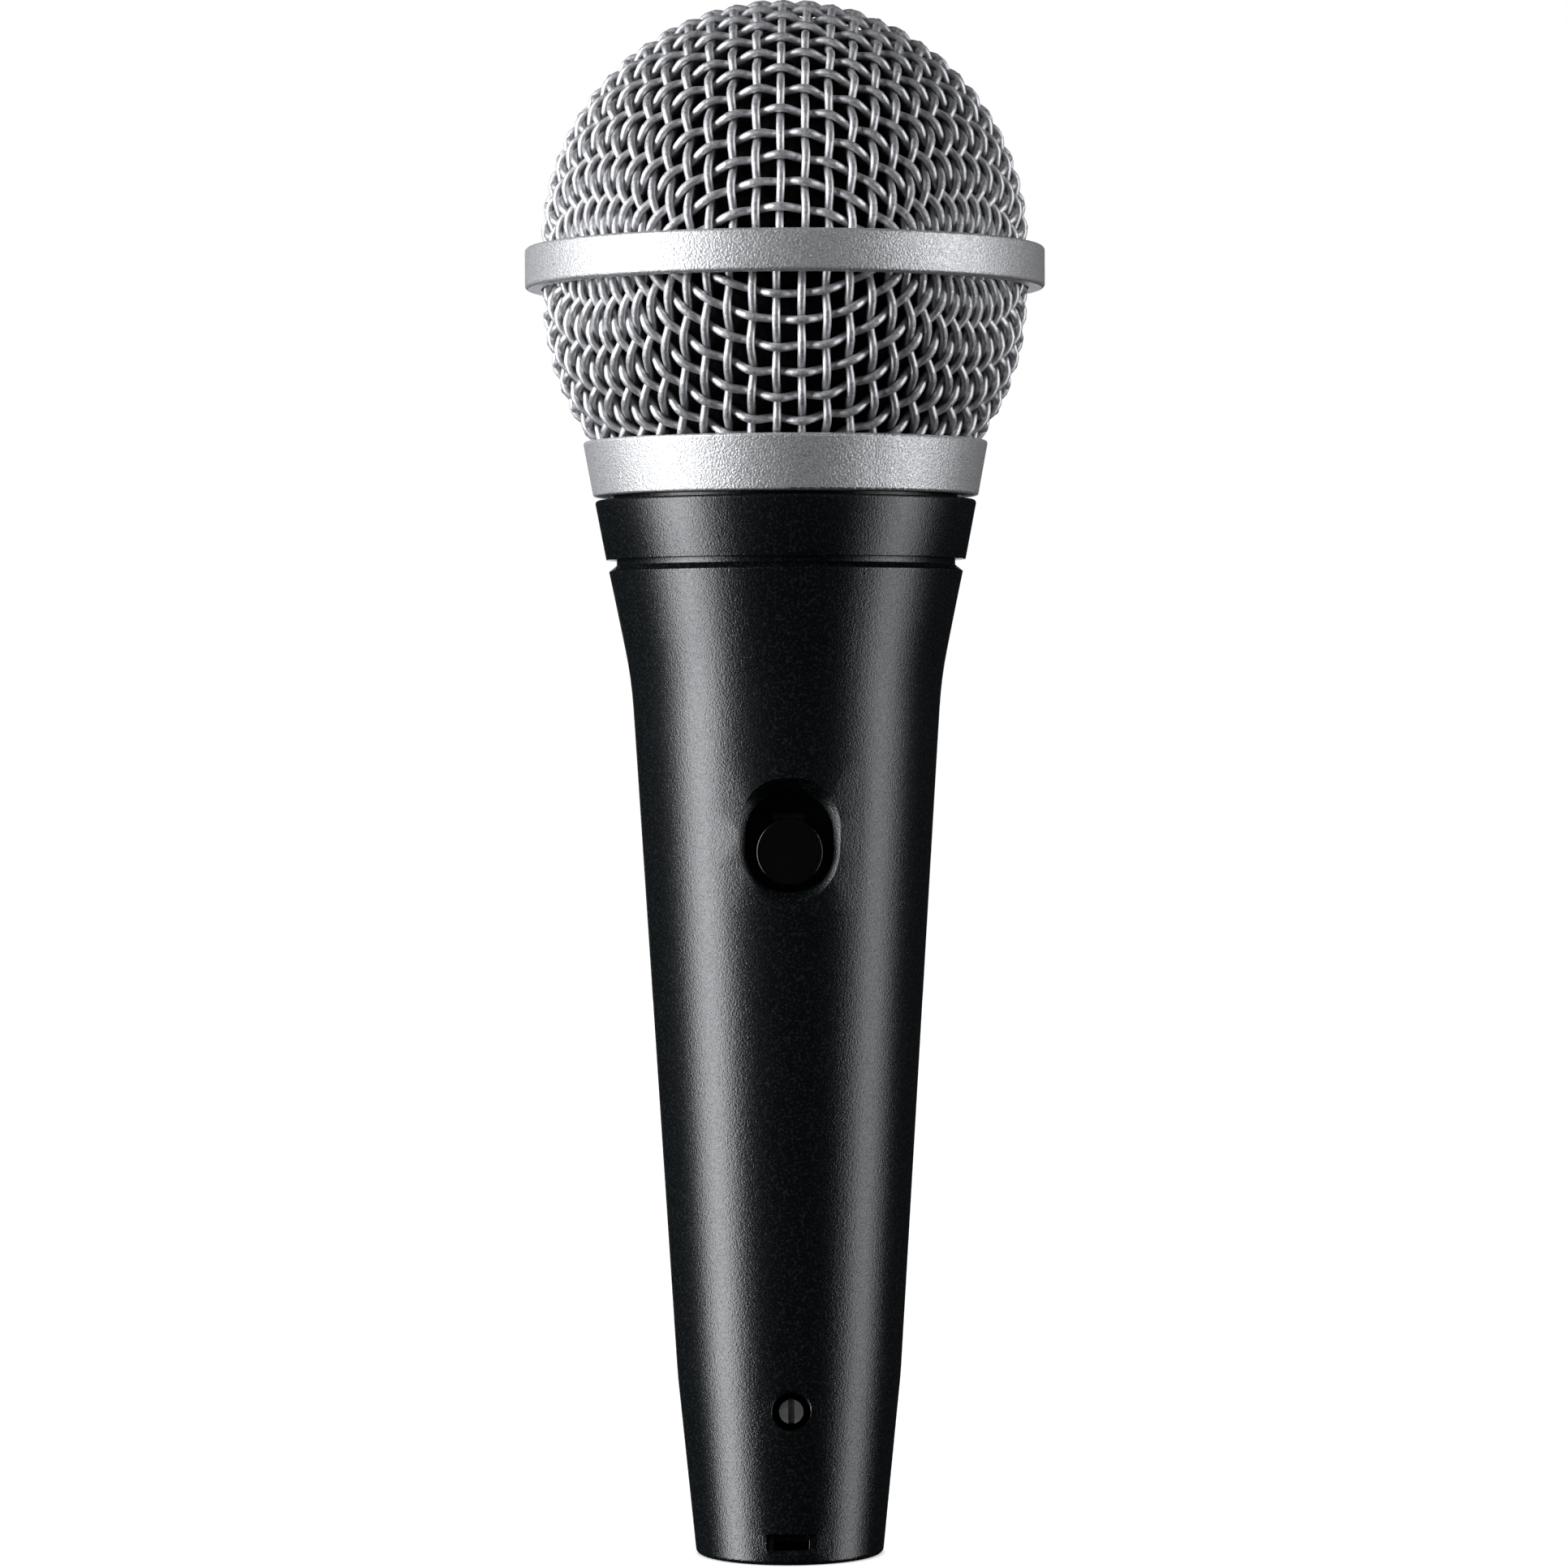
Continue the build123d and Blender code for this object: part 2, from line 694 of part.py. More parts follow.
with BuildPart() as switch_body:
    block(
        switch_w,
        switch_front_y,
        board_front_y,
        switch_z - switch_h / 2,
        switch_z + switch_h / 2,
    )
    tab_slot_h = tab_h + switch_travel + 2 * stem_slot_gap
    block(
        tab_w + 2 * stem_slot_gap,
        switch_front_y,
        slider_base_y,
        switch_z - tab_slot_h / 2,
        switch_z + tab_slot_h / 2,
        Mode.SUBTRACT,
    )
    room_h = slider_base_h + switch_travel + 2 * stem_slot_gap
    block(
        slider_base_w + 2 * stem_slot_gap,
        switch_front_y + switch_skin,
        slider_base_y + slider_base_t + run_gap,
        switch_z - room_h / 2,
        switch_z + room_h / 2,
        Mode.SUBTRACT,
    )
save(switch_body, "switch_body")

terminal_places = [
    (side * terminal_pitch_x / 2, switch_z + row * terminal_pitch_z)
    for side in (-1, 1)
    for row in (-1, 0, 1)
]

with BuildPart() as switch_board:
    block(board_w, board_front_y, board_back_y, carrier_low_z, carrier_top_z)
    with BuildSketch(front_plane(-board_back_y)):
        with Locations(*post_places):
            Circle(screw_r + stem_slot_gap)
        with Locations(*terminal_places):
            Circle(terminal_r + fit_gap)
    extrude(amount=board_t, mode=Mode.SUBTRACT)
save(switch_board, "switch_board")

with BuildPart() as switch_terminals:
    with BuildSketch(front_plane(-board_front_y - terminal_len)):
        with Locations(*terminal_places):
            Circle(terminal_r)
    extrude(amount=terminal_len)
save(switch_terminals, "switch_terminals")

with BuildPart() as board_screws:
    with BuildSketch(front_plane(-board_back_y - screw_head_h)):
        with Locations(*post_places):
            Circle(screw_head_r)
    extrude(amount=screw_head_h)
    with BuildSketch(front_plane(-board_back_y)):
        with Locations(*post_places):
            Circle(screw_r)
    extrude(amount=board_t + screw_bite - fit_gap)
    with BuildSketch(front_plane(-board_back_y - screw_head_h)):
        with Locations(*post_places):
            Rectangle(screw_slot_w, 2 * screw_head_r + fit_gap)
            Rectangle(2 * screw_head_r + fit_gap, screw_slot_w)
    extrude(amount=screw_slot_depth, mode=Mode.SUBTRACT)
save(board_screws, "board_screws")

# ================================================================ cartridge
with BuildPart() as shock_mount:
    lip_top_z = mount_seat_z + mount_lip_h
    turn(
        [
            (housing_neck_r + fit_gap, mount_seat_z),
            (mount_out_r, mount_seat_z),
            (mount_out_r, lip_top_z),
            (housing_neck_r + fit_gap + mount_web_t, lip_top_z),
            (housing_neck_r + fit_gap + mount_web_t, flange_z - mount_lip_h),
            (flange_r, flange_z - mount_lip_h),
            (flange_r, flange_z),
            (housing_neck_r + fit_gap, flange_z),
        ]
    )
save(shock_mount, "shock_mount")

with BuildPart() as cartridge_housing:
    turn(
        [
            (housing_neck_bore_r, housing_low_z),
            (housing_neck_r, housing_low_z),
            (housing_neck_r, flange_z),
            (flange_r, flange_z),
            (flange_r, flange_z + flange_h),
            (barrel_r, flange_z + flange_h),
            (barrel_r, barrel_top_z),
            (surround_seat_r, barrel_top_z),
            (surround_seat_r, surround_seat_z),
            (barrel_bore_r, surround_seat_z),
            (barrel_bore_r, web_low_z + web_h),
            (web_hole_r, web_low_z + web_h),
            (web_hole_r, web_low_z),
            (housing_neck_bore_r, web_low_z),
        ]
    )
    with Locations((0, 0, port_z)):
        with PolarLocations(barrel_bore_r + barrel_wall / 2, port_count):
            Box(barrel_wall + 2 * port_reach, port_w, port_h, mode=Mode.SUBTRACT)
save(cartridge_housing, "cartridge_housing")

with BuildPart() as rear_port_felt:
    tube(barrel_r + fit_gap, barrel_r + fit_gap + felt_t, port_z - felt_h / 2, port_z + felt_h / 2)
save(rear_port_felt, "rear_port_felt")

with BuildPart() as magnet_yoke:
    turn(
        [
            (0, yoke_low_z),
            (yoke_r, yoke_low_z),
            (yoke_r, yoke_top_z),
            (yoke_bore_r, yoke_top_z),
            (yoke_bore_r, yoke_low_z + yoke_base_h),
            (0, yoke_low_z + yoke_base_h),
        ]
    )
save(magnet_yoke, "magnet_yoke")

with BuildPart() as magnet:
    tube(0, magnet_r, yoke_low_z + yoke_base_h, pole_low_z)
save(magnet, "magnet")

with BuildPart() as pole_piece:
    tube(0, pole_r, pole_low_z, yoke_top_z)
save(pole_piece, "pole_piece")

with BuildPart() as voice_coil:
    tube(coil_in_r, coil_out_r, rim_z - coil_h, rim_z)
save(voice_coil, "voice_coil")

with BuildPart() as diaphragm:
    tube(coil_in_r - film_t, rim_out_r, rim_z, rim_z + film_t)
    with BuildSketch(Plane.XZ):
        with BuildLine():
            top_z = rim_z + dome_rise
            reach = coil_in_r
            SagittaArc((reach, rim_z), (-reach, rim_z), -dome_rise + film_t)
            SagittaArc((reach + film_t, rim_z), (-reach - film_t, rim_z), -dome_rise)
            Line((reach, rim_z), (reach + film_t, rim_z))
            Line((-reach, rim_z), (-reach - film_t, rim_z))
        make_face()
        with Locations((-barrel_r / 2, top_z)):
            Rectangle(barrel_r, barrel_r, mode=Mode.SUBTRACT)
    revolve(axis=Axis.Z)
save(diaphragm, "diaphragm")

with BuildPart() as diaphragm_surround:
    tube(foot_in_r, foot_out_r, surround_seat_z, surround_seat_z + film_t)
    with BuildSketch(Plane.XZ):
        with BuildLine():
            roll_in = (rim_out_r, rim_z)
            roll_out = (foot_in_r, surround_seat_z)
            over_in = (rim_out_r, rim_z + film_t)
            over_out = (foot_in_r, surround_seat_z + film_t)
            roll_mid = ((rim_out_r + foot_in_r) / 2, rim_z + roll_rise)
            over_mid = (roll_mid[0], roll_mid[1] + film_t)
            ThreePointArc(roll_in, roll_mid, roll_out)
            Line(roll_out, over_out)
            ThreePointArc(over_out, over_mid, over_in)
            Line(over_in, roll_in)
        make_face()
    revolve(axis=Axis.Z)
save(diaphragm_surround, "diaphragm_surround")

with BuildPart() as resonator_cap:
    tube(0, barrel_r, cap_low_z, cap_low_z + cap_h)
    fillet(resonator_cap.edges().sort_by(Axis.Z)[-1], cap_edge_r)
    tube(cap_skirt_in_r, foot_out_r, surround_seat_z + film_t + fit_gap, cap_low_z)
    with BuildSketch(Plane.XY.offset(cap_low_z)):
        Circle(cap_hole_r)
        with PolarLocations(cap_hole_ring_r, cap_hole_count):
            Circle(cap_hole_r)
        with PolarLocations(cap_slot_ring_r, cap_slot_count):
            Circle(cap_slot_r)
    extrude(amount=cap_h, mode=Mode.SUBTRACT)
save(resonator_cap, "resonator_cap")

with BuildPart() as cap_screen:
    tube(0, screen_r, cap_low_z + cap_h, cap_low_z + cap_h + screen_t)
save(cap_screen, "cap_screen")

with BuildPart() as rear_chamber:
    turn(
        [
            (0, rear_cup_low_z),
            (rear_cup_r, rear_cup_low_z),
            (rear_cup_r, housing_low_z),
            (rear_cup_r - rear_cup_wall, housing_low_z),
            (rear_cup_r - rear_cup_wall, rear_cup_low_z + rear_cup_floor),
            (0, rear_cup_low_z + rear_cup_floor),
        ]
    )
save(rear_chamber, "rear_chamber")

with BuildPart() as solder_lugs:
    with BuildSketch(Plane.XY.offset(rear_cup_low_z - lug_h)):
        with Locations((-lug_x, lug_y), (lug_x, lug_y)):
            Circle(lug_r)
    extrude(amount=lug_h)
save(solder_lugs, "solder_lugs")

# ================================================================ grille
with BuildPart() as grille_collar:
    turn(
        [
            (thread_r + thread_gap, silver_low_z),
            (silver_low_r, silver_low_z),
            (silver_top_r, silver_top_z),
            (silver_rim_r, silver_top_z),
            (silver_rim_r, silver_rim_z),
            (silver_ledge_r, silver_rim_z),
            (silver_ledge_r, silver_ledge_z),
            (thread_r + thread_gap, silver_ledge_z),
        ]
    )
    rims = grille_collar.edges().filter_by(GeomType.CIRCLE)
    low_rim = rims.group_by(Axis.Z)[0].sort_by(SortBy.RADIUS)[-1]
    fillet(low_rim, silver_low_edge)
    rims = grille_collar.edges().filter_by(GeomType.CIRCLE)
    top_rim = rims.group_by(Axis.Z)[-1].sort_by(SortBy.RADIUS)[-1]
    fillet(top_rim, silver_top_edge)
save(grille_collar, "grille_collar")


def sphere_r(radius, centre_z, z):
    """Distance from the axis of a sphere's surface at height z."""
    return sqrt(radius**2 - (z - centre_z) ** 2)


def basket_outline(outer, low_z, top_z):
    """Inner and outer edges of the basket from low_z to top_z, as a closed face."""
    inner = outer - mesh_t
    slant = (low_z - basket_centre_z) / outer
    low_out = (sphere_r(outer, basket_centre_z, low_z), low_z)
    low_in = (inner * sqrt(1 - slant**2), basket_centre_z + inner * slant)
    mid_slant = -sin(radians(basket_bulge_degrees))
    mid_wide = cos(radians(basket_bulge_degrees))
    out_mid = (outer * mid_wide, basket_centre_z + outer * mid_slant)
    in_mid = (inner * mid_wide, basket_centre_z + inner * mid_slant)
    with BuildLine() as outline:
        ThreePointArc(low_out, out_mid, (outer, basket_centre_z))
        Line((outer, basket_centre_z), (outer, top_z))
        Line((outer, top_z), (inner, top_z))
        Line((inner, top_z), (inner, basket_centre_z))
        ThreePointArc((inner, basket_centre_z), in_mid, low_in)
        Line(low_in, low_out)
    make_face(outline.edges())


with BuildPart() as lower_mesh_basket:
    with BuildSketch(Plane.XZ):
        basket_outline(basket_r, basket_foot_z, web_z - ring_web_h / 2)
    revolve(axis=Axis.Z)
save(lower_mesh_basket, "lower_mesh_basket")

with BuildPart() as upper_mesh_dome:
    with BuildSketch(Plane.XZ):
        with BuildLine():
            dome_in = dome_r - mesh_t
            dome_low_z = web_z + ring_web_h / 2
            Line((dome_in, dome_low_z), (dome_r, dome_low_z))
            Line((dome_r, dome_low_z), (dome_r, dome_centre_z))
            CenterArc((0, dome_centre_z), dome_r, 0, 90)
            Line((0, dome_centre_z + dome_r), (0, dome_centre_z + dome_in))
            CenterArc((0, dome_centre_z), dome_in, 0, 90)
            Line((dome_in, dome_centre_z), (dome_in, dome_low_z))
        make_face()
    revolve(axis=Axis.Z)
save(upper_mesh_dome, "upper_mesh_dome")

with BuildPart() as equator_ring:
    turn(
        [
            (basket_r + fit_gap, ring_low_z),
            (ring_r, ring_low_z),
            (ring_r, ring_top_z),
            (dome_r + fit_gap, ring_top_z),
            (dome_r + fit_gap, web_z + ring_web_h / 2),
            (ring_web_r, web_z + ring_web_h / 2),
            (ring_web_r, web_z - ring_web_h / 2),
            (basket_r + fit_gap, web_z - ring_web_h / 2),
        ]
    )
    rims = equator_ring.edges().filter_by(GeomType.CIRCLE).sort_by(SortBy.RADIUS)
    fillet(rims[-2:], ring_edge_r)
save(equator_ring, "equator_ring")

with BuildPart() as foam_windscreen:
    with BuildSketch(Plane.XZ):
        with BuildLine():
            top_skin_r = dome_r - mesh_t - foam_gap
            top_hollow_r = top_skin_r - foam_t
            foam_low = (sphere_r(foam_skin_r, basket_centre_z, foam_low_z), foam_low_z)
            mouth_top_z = basket_centre_z - sqrt(foam_hollow_r**2 - foam_mouth_r**2)
            low_mid_z = (foam_low_z + basket_centre_z) / 2
            hollow_mid_z = (mouth_top_z + basket_centre_z) / 2
            ThreePointArc(
                foam_low,
                (sphere_r(foam_skin_r, basket_centre_z, low_mid_z), low_mid_z),
                (foam_skin_r, basket_centre_z),
            )
            Line((foam_skin_r, basket_centre_z), (top_skin_r, dome_centre_z))
            CenterArc((0, dome_centre_z), top_skin_r, 0, 90)
            Line((0, dome_centre_z + top_skin_r), (0, dome_centre_z + top_hollow_r))
            CenterArc((0, dome_centre_z), top_hollow_r, 0, 90)
            Line((top_hollow_r, dome_centre_z), (foam_hollow_r, basket_centre_z))
            ThreePointArc(
                (foam_hollow_r, basket_centre_z),
                (sphere_r(foam_hollow_r, basket_centre_z, hollow_mid_z), hollow_mid_z),
                (foam_mouth_r, mouth_top_z),
            )
            Line((foam_mouth_r, mouth_top_z), (foam_mouth_r, foam_low_z))
            Line((foam_mouth_r, foam_low_z), foam_low)
        make_face()
    revolve(axis=Axis.Z)
save(foam_windscreen, "foam_windscreen")

# ================================================================ leads
cup_floor_z = pin_top_z - pin_cup_depth
lug_end_z = rear_cup_low_z - lug_h
pin_1, pin_2, pin_3 = pin_places.values()

# each route starts on the board's back and ends in a pin's solder cup or on a lug
routes = {
    "output_lead_ground": [
        (-pad_x, board_back_y, output_pad_z),
        (-pad_x, ground_y, output_pad_z),
        (*ground_bend, output_pad_z - ground_bend_drop),
        (*pin_1, pin_top_z + ground_rise),
        (*pin_1, cup_floor_z),
    ],
    "output_lead_hot": [
        (pad_x, board_back_y, output_pad_z),
        (pad_x, hot_y, output_pad_z),
        (*hot_bend, output_pad_z - hot_bend_drop),
        (*pin_2, pin_top_z + hot_rise),
        (*pin_2, cup_floor_z),
    ],
    "output_lead_cold": [
        (0, board_back_y, output_pad_z),
        (0, cold_y, output_pad_z),
        (*cold_bend, output_pad_z - cold_bend_drop),
        (*pin_3, pin_top_z + cold_rise),
        (*pin_3, cup_floor_z),
    ],
    "cartridge_lead_hot": [
        (lug_x, board_back_y, input_pad_z),
        (lug_x, lug_y, input_pad_z),
        (lug_x, lug_y, lug_end_z),
    ],
    "cartridge_lead_cold": [
        (-lug_x, board_back_y, input_pad_z),
        (-lug_x, lug_y, input_pad_z),
        (-lug_x, lug_y, lug_end_z),
    ],
}


def arc_radii(points):
    """The largest arc radius that each inner point's two runs allow."""
    corners = [Vector(*p) for p in points]
    radii = []
    for before, here, after in zip(corners, corners[1:], corners[2:]):
        run_in = here - before
        run_out = after - here
        half_turn = radians(run_in.get_angle(run_out)) / 2
        radii.append(arc_share * min(run_in.length, run_out.length) / tan(half_turn))
    return radii


for lead_name, route in routes.items():
    with BuildPart() as lead:
        radii = arc_radii(route)
        with BuildLine() as lead_path:
            FilletPolyline(*route, radius=radii)
        with BuildSketch(Plane(origin=route[0], z_dir=(0, 1, 0))):
            Circle(lead_r)
        sweep(path=lead_path.wire())
    save(lead, lead_name)
    length = lead_path.wire().length
    share = lead.part.volume / (pi * lead_r**2 * length)
    print(lead_name, "arc radii", [round(r, 2) for r in radii])
    print(f"    length {length:.1f}, volume over section times length {share:.4f}")
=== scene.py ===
"""Looks of the handheld dynamic microphone: woven grille, foam lining, enamels and inner parts.

Metres. +Z runs up the handle to the grille, the origin is the centre of the tail's end
face and the switch faces -Y.
"""
import math

import bpy
import numpy as np
from mathutils import Matrix, Vector, noise


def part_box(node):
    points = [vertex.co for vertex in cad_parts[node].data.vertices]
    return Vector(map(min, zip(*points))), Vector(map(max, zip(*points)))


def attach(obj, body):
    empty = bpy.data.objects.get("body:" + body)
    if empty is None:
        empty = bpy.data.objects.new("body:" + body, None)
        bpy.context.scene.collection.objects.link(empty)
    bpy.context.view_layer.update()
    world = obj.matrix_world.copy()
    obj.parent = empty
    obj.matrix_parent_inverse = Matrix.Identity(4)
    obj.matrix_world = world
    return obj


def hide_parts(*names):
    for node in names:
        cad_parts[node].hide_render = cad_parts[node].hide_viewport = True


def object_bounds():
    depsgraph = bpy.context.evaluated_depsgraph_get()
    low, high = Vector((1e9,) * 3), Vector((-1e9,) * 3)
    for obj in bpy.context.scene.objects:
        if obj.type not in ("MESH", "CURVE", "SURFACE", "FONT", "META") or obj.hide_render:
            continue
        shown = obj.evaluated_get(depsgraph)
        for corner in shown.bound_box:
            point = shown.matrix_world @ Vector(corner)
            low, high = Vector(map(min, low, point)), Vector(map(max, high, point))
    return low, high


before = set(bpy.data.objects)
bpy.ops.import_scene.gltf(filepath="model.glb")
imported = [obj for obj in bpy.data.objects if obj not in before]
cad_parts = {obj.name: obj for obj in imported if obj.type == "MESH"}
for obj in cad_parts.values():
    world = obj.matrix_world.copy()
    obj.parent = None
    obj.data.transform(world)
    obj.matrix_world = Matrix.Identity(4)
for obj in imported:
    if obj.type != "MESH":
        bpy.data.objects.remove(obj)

cad_low, cad_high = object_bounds()
scene = bpy.context.scene
MM = 0.001


# ================================================================ places, from the frame
boxes = {node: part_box(node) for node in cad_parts}


def low(node):
    """The node's lowest corner."""
    return boxes[node][0]


def high(node):
    """The node's highest corner."""
    return boxes[node][1]


wire_d = 0.86 * MM
dome_r = high("upper_mesh_dome").x
dome_centre = Vector((0, 0, high("upper_mesh_dome").z - dome_r))
dome_foot_z = low("upper_mesh_dome").z
basket_r = high("lower_mesh_basket").x
basket_rise = 2.795 * MM  # from the centre of the basket's sphere up to its top edge
basket_centre = Vector((0, 0, high("lower_mesh_basket").z - basket_rise))
basket_foot_z = low("lower_mesh_basket").z
basket_top_z = high("lower_mesh_basket").z


# ================================================================ mesh helpers
def new_piece(name, points, faces, body, sharp_degrees=None):
    """A smooth-shaded mesh that rides on a body, with edges sharper than the angle kept sharp."""
    mesh = bpy.data.meshes.new(name)
    mesh.from_pydata(points, [], faces)
    mesh.polygons.foreach_set("use_smooth", [True] * len(mesh.polygons))
    if sharp_degrees is not None:
        mesh.set_sharp_from_angle(angle=math.radians(sharp_degrees))
    mesh.update()
    piece = bpy.data.objects.new(name, mesh)
    scene.collection.objects.link(piece)
    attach(piece, body)
    return piece


def arc(centre_r, centre_z, radius, start, end, steps):
    """Points (radius, height) along an arc of an outline; angles in degrees from +R to +Z."""
    angles = np.radians(np.linspace(start, end, steps + 1))
    return [(centre_r + radius * math.cos(a), centre_z + radius * math.sin(a)) for a in angles]


def lathe(outline, segments, shape=None):
    """Points and faces of a closed outline of (radius, height) turned about Z.

    shape(radius, height, angle) may change the radius. Outline points on the axis become
    single points.
    """
    points = []
    rows = []
    for radius, height in outline:
        if radius < 1e-9:
            rows.append([len(points)] * segments)
            points.append((0.0, 0.0, height))
            continue
        row = []
        for step in range(segments):
            angle = 2 * math.pi * step / segments
            r = radius if shape is None else shape(radius, height, angle)
            row.append(len(points))
            points.append((r * math.cos(angle), r * math.sin(angle), height))
        rows.append(row)
    faces = []
    for row, after in zip(rows, rows[1:] + rows[:1]):
        for step in range(segments):
            turn = (step + 1) % segments
            corners = [row[step], row[turn], after[turn], after[step]]
            face = list(dict.fromkeys(corners))
            if len(face) > 2:
                faces.append(face)
    return points, faces


# ================================================================ woven grille
upper_pitch = (2.46 * MM, 2.62 * MM)  # sideways and from front to back
lower_pitch = (2.5 * MM, 2.646 * MM)
steps_per_cell = 6
wire_sides = 8
crown_flat = 0.1 * MM  # how much of the crowns the press has flattened
wander = 0.05 * MM  # how far the crossings stray from the even net


def net_quarter(cells, step_x, step_y):
    """One quarter of a net of cells with equal opposite sides on a unit sphere."""
    net = np.zeros((cells + 1, cells + 1, 3))
    for k in range(cells + 1):
        net[k, 0] = (math.sin(k * step_x), 0, math.cos(k * step_x))
        net[0, k] = (0, math.sin(k * step_y), math.cos(k * step_y))
    for i in range(cells):
        for j in range(cells):
            middle = net[i + 1, j] + net[i, j + 1]
            middle /= np.linalg.norm(middle)
            net[i + 1, j + 1] = 2 * np.dot(net[i, j], middle) * middle - net[i, j]
    return net


def whole_net(cells, step_x, step_y, shifted, stray, seed):
    """The quarter mirrored into a full net, with every crossing moved a little.

    A shifted net has its pole between two of the wires that run from front to back.
    """
    quarter = net_quarter(2 * cells, step_x / 2, step_y / 2)
    first = 1 - 2 * cells if shifted else -2 * cells
    columns = range(first, 1 - first, 2)
    rows = range(-2 * cells, 2 * cells + 1, 2)
    net = np.zeros((len(columns), len(rows), 3))
    for a, i in enumerate(columns):
        for b, j in enumerate(rows):
            x, y, z = quarter[abs(i), abs(j)]
            net[a, b] = (math.copysign(x, i), math.copysign(y, j), z)
    net += np.random.default_rng(seed).normal(0, stray, net.shape)
    return net / np.linalg.norm(net, axis=2, keepdims=True)


def woven_path(crossings, over_first, mid_r):
    """A smooth wire through its crossings on the sphere, going over and under in turn."""
    first = 2 * crossings[0] - crossings[1]
    last = 2 * crossings[-1] - crossings[-2]
    p = np.vstack([first, crossings, last])
    count = len(crossings) - 1
    t = np.arange(steps_per_cell)[:, None] / steps_per_cell
    path = []
    for k in range(count):
        a, b, c, d = p[k : k + 4]
        path.append(
            0.5 * (2 * b + (c - a) * t + (2 * a - 5 * b + 4 * c - d) * t**2 + (3 * b - a - 3 * c + d) * t**3)
        )
    path = np.vstack(path)
    path /= np.linalg.norm(path, axis=1, keepdims=True)
    along = np.arange(len(path)) / steps_per_cell
    lift = wire_d / 2 * np.cos(math.pi * along) * (1 if over_first else -1)
    return path * (mid_r + lift)[:, None]


def cut_runs(path, foot, pole_cut):
    """The stretches of a path from its middle out to the foot height, less what is past pole_cut."""
    middle = int(np.argmax(path[:, 2]))
    start = middle
    while start > 0 and path[start - 1, 2] > foot:
        start -= 1
    end = middle
    while end < len(path) - 1 and path[end + 1, 2] > foot:
        end += 1
    start = max(start - 1, 0)
    end = min(end + 1, len(path) - 1)
    runs = []
    run = []
    for before, here in zip([None, *path[start:end]], path[start : end + 1]):
        inside = foot < here[2] < pole_cut
        was_inside = before is not None and foot < before[2] < pole_cut
        if before is not None and inside != was_inside:
            limit = foot if min(here[2], before[2]) < foot else pole_cut
            share = (limit - before[2]) / (here[2] - before[2])
            run.append(before + share * (here - before))
        if was_inside and not inside:
            runs.append(run)
            run = []
        if inside:
            run.append(here)
    if run:
        runs.append(run)
    return [np.array(r) for r in runs if len(r) > 3]


def wire_tube(run, crown_r, points, faces):
    """Adds a round wire along a run, its profile square to the sphere, its crowns pressed flat."""
    tangent = np.gradient(run, axis=0)
    tangent /= np.linalg.norm(tangent, axis=1, keepdims=True)
    out = run / np.linalg.norm(run, axis=1, keepdims=True)
    out -= np.sum(out * tangent, axis=1, keepdims=True) * tangent
    out /= np.linalg.norm(out, axis=1, keepdims=True)
    side = np.cross(tangent, out)
    base = len(points)
    angles = 2 * math.pi * (np.arange(wire_sides) + 0.5) / wire_sides
    ring = np.cos(angles)[None, :, None] * out[:, None, :] + np.sin(angles)[None, :, None] * side[:, None, :]
    skin = run[:, None, :] + wire_d / 2 * ring
    reach = np.linalg.norm(skin, axis=2, keepdims=True)
    skin *= np.minimum(1, crown_r / reach)
    points.extend(skin.reshape(-1, 3))
    for k in range(len(run) - 1):
        for s in range(wire_sides):
            n = (s + 1) % wire_sides
            row = base + k * wire_sides
            faces.append((row + s, row + wire_sides + s, row + wire_sides + n, row + n))
    faces.append(tuple(range(base, base + wire_sides)))
    end = base + (len(run) - 1) * wire_sides
    faces.append(tuple(reversed(range(end, end + wire_sides))))


def woven_dome(name, pitch, crown_r, centre, foot, pole_cut, upward, turn_degrees, seed):
    """A dome of plain-woven wire. foot and pole_cut are heights from its centre towards its pole.

    The net of a dome that points down is shifted sideways by half a cell.
    """
    mid_r = crown_r - wire_d
    cells = int(math.pi / 2 * mid_r / min(pitch)) + 3
    net = whole_net(cells, pitch[0] / mid_r, pitch[1] / mid_r, not upward, wander / mid_r, seed)
    parity = 0 if upward else 1
    wires = [(net[:, k], k % 2 == parity) for k in range(net.shape[1])]
    wires += [(net[k, :], k % 2 != parity) for k in range(net.shape[0])]
    points = []
    faces = []
    for crossings, over_first in wires:
        path = woven_path(crossings, over_first, mid_r)
        for run in cut_runs(path, foot, pole_cut):
            wire_tube(run, crown_r - crown_flat, points, faces)
    points = np.array(points)
    if not upward:
        points[:, 1:] *= -1
    turn = np.array(Matrix.Rotation(math.radians(turn_degrees), 3, "Z"))
    points = points @ turn.T + np.array(centre)
    return new_piece(name, points.tolist(), faces, "grille")


def build_upper_wires():
    piece = woven_dome(
        "upper_wires",
        upper_pitch,
        dome_r,
        dome_centre,
        dome_foot_z - dome_centre.z,
        2 * dome_r,
        upward=True,
        turn_degrees=-2.0,
        seed=11,
    )
    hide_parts("upper_mesh_dome")
    piece.data.materials.append(wire_finish("upper_wire", dome_centre, dome_r))


def build_lower_wires():
    piece = woven_dome(
        "lower_wires",
        lower_pitch,
        basket_r,
        basket_centre,
        basket_centre.z - basket_top_z,
        basket_centre.z - basket_foot_z,
        upward=False,
        turn_degrees=0.0,
        seed=12,
    )
    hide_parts("lower_mesh_basket")
    piece.data.materials.append(wire_finish("lower_wire", basket_centre, basket_r))


# ================================================================ foam lining
foam_t = 4.0 * MM
foam_mouth_r = 17.0 * MM
foam_cell = 0.55 * MM
foam_rough = 0.12 * MM
foam_pit = 2.2 * foam_cell


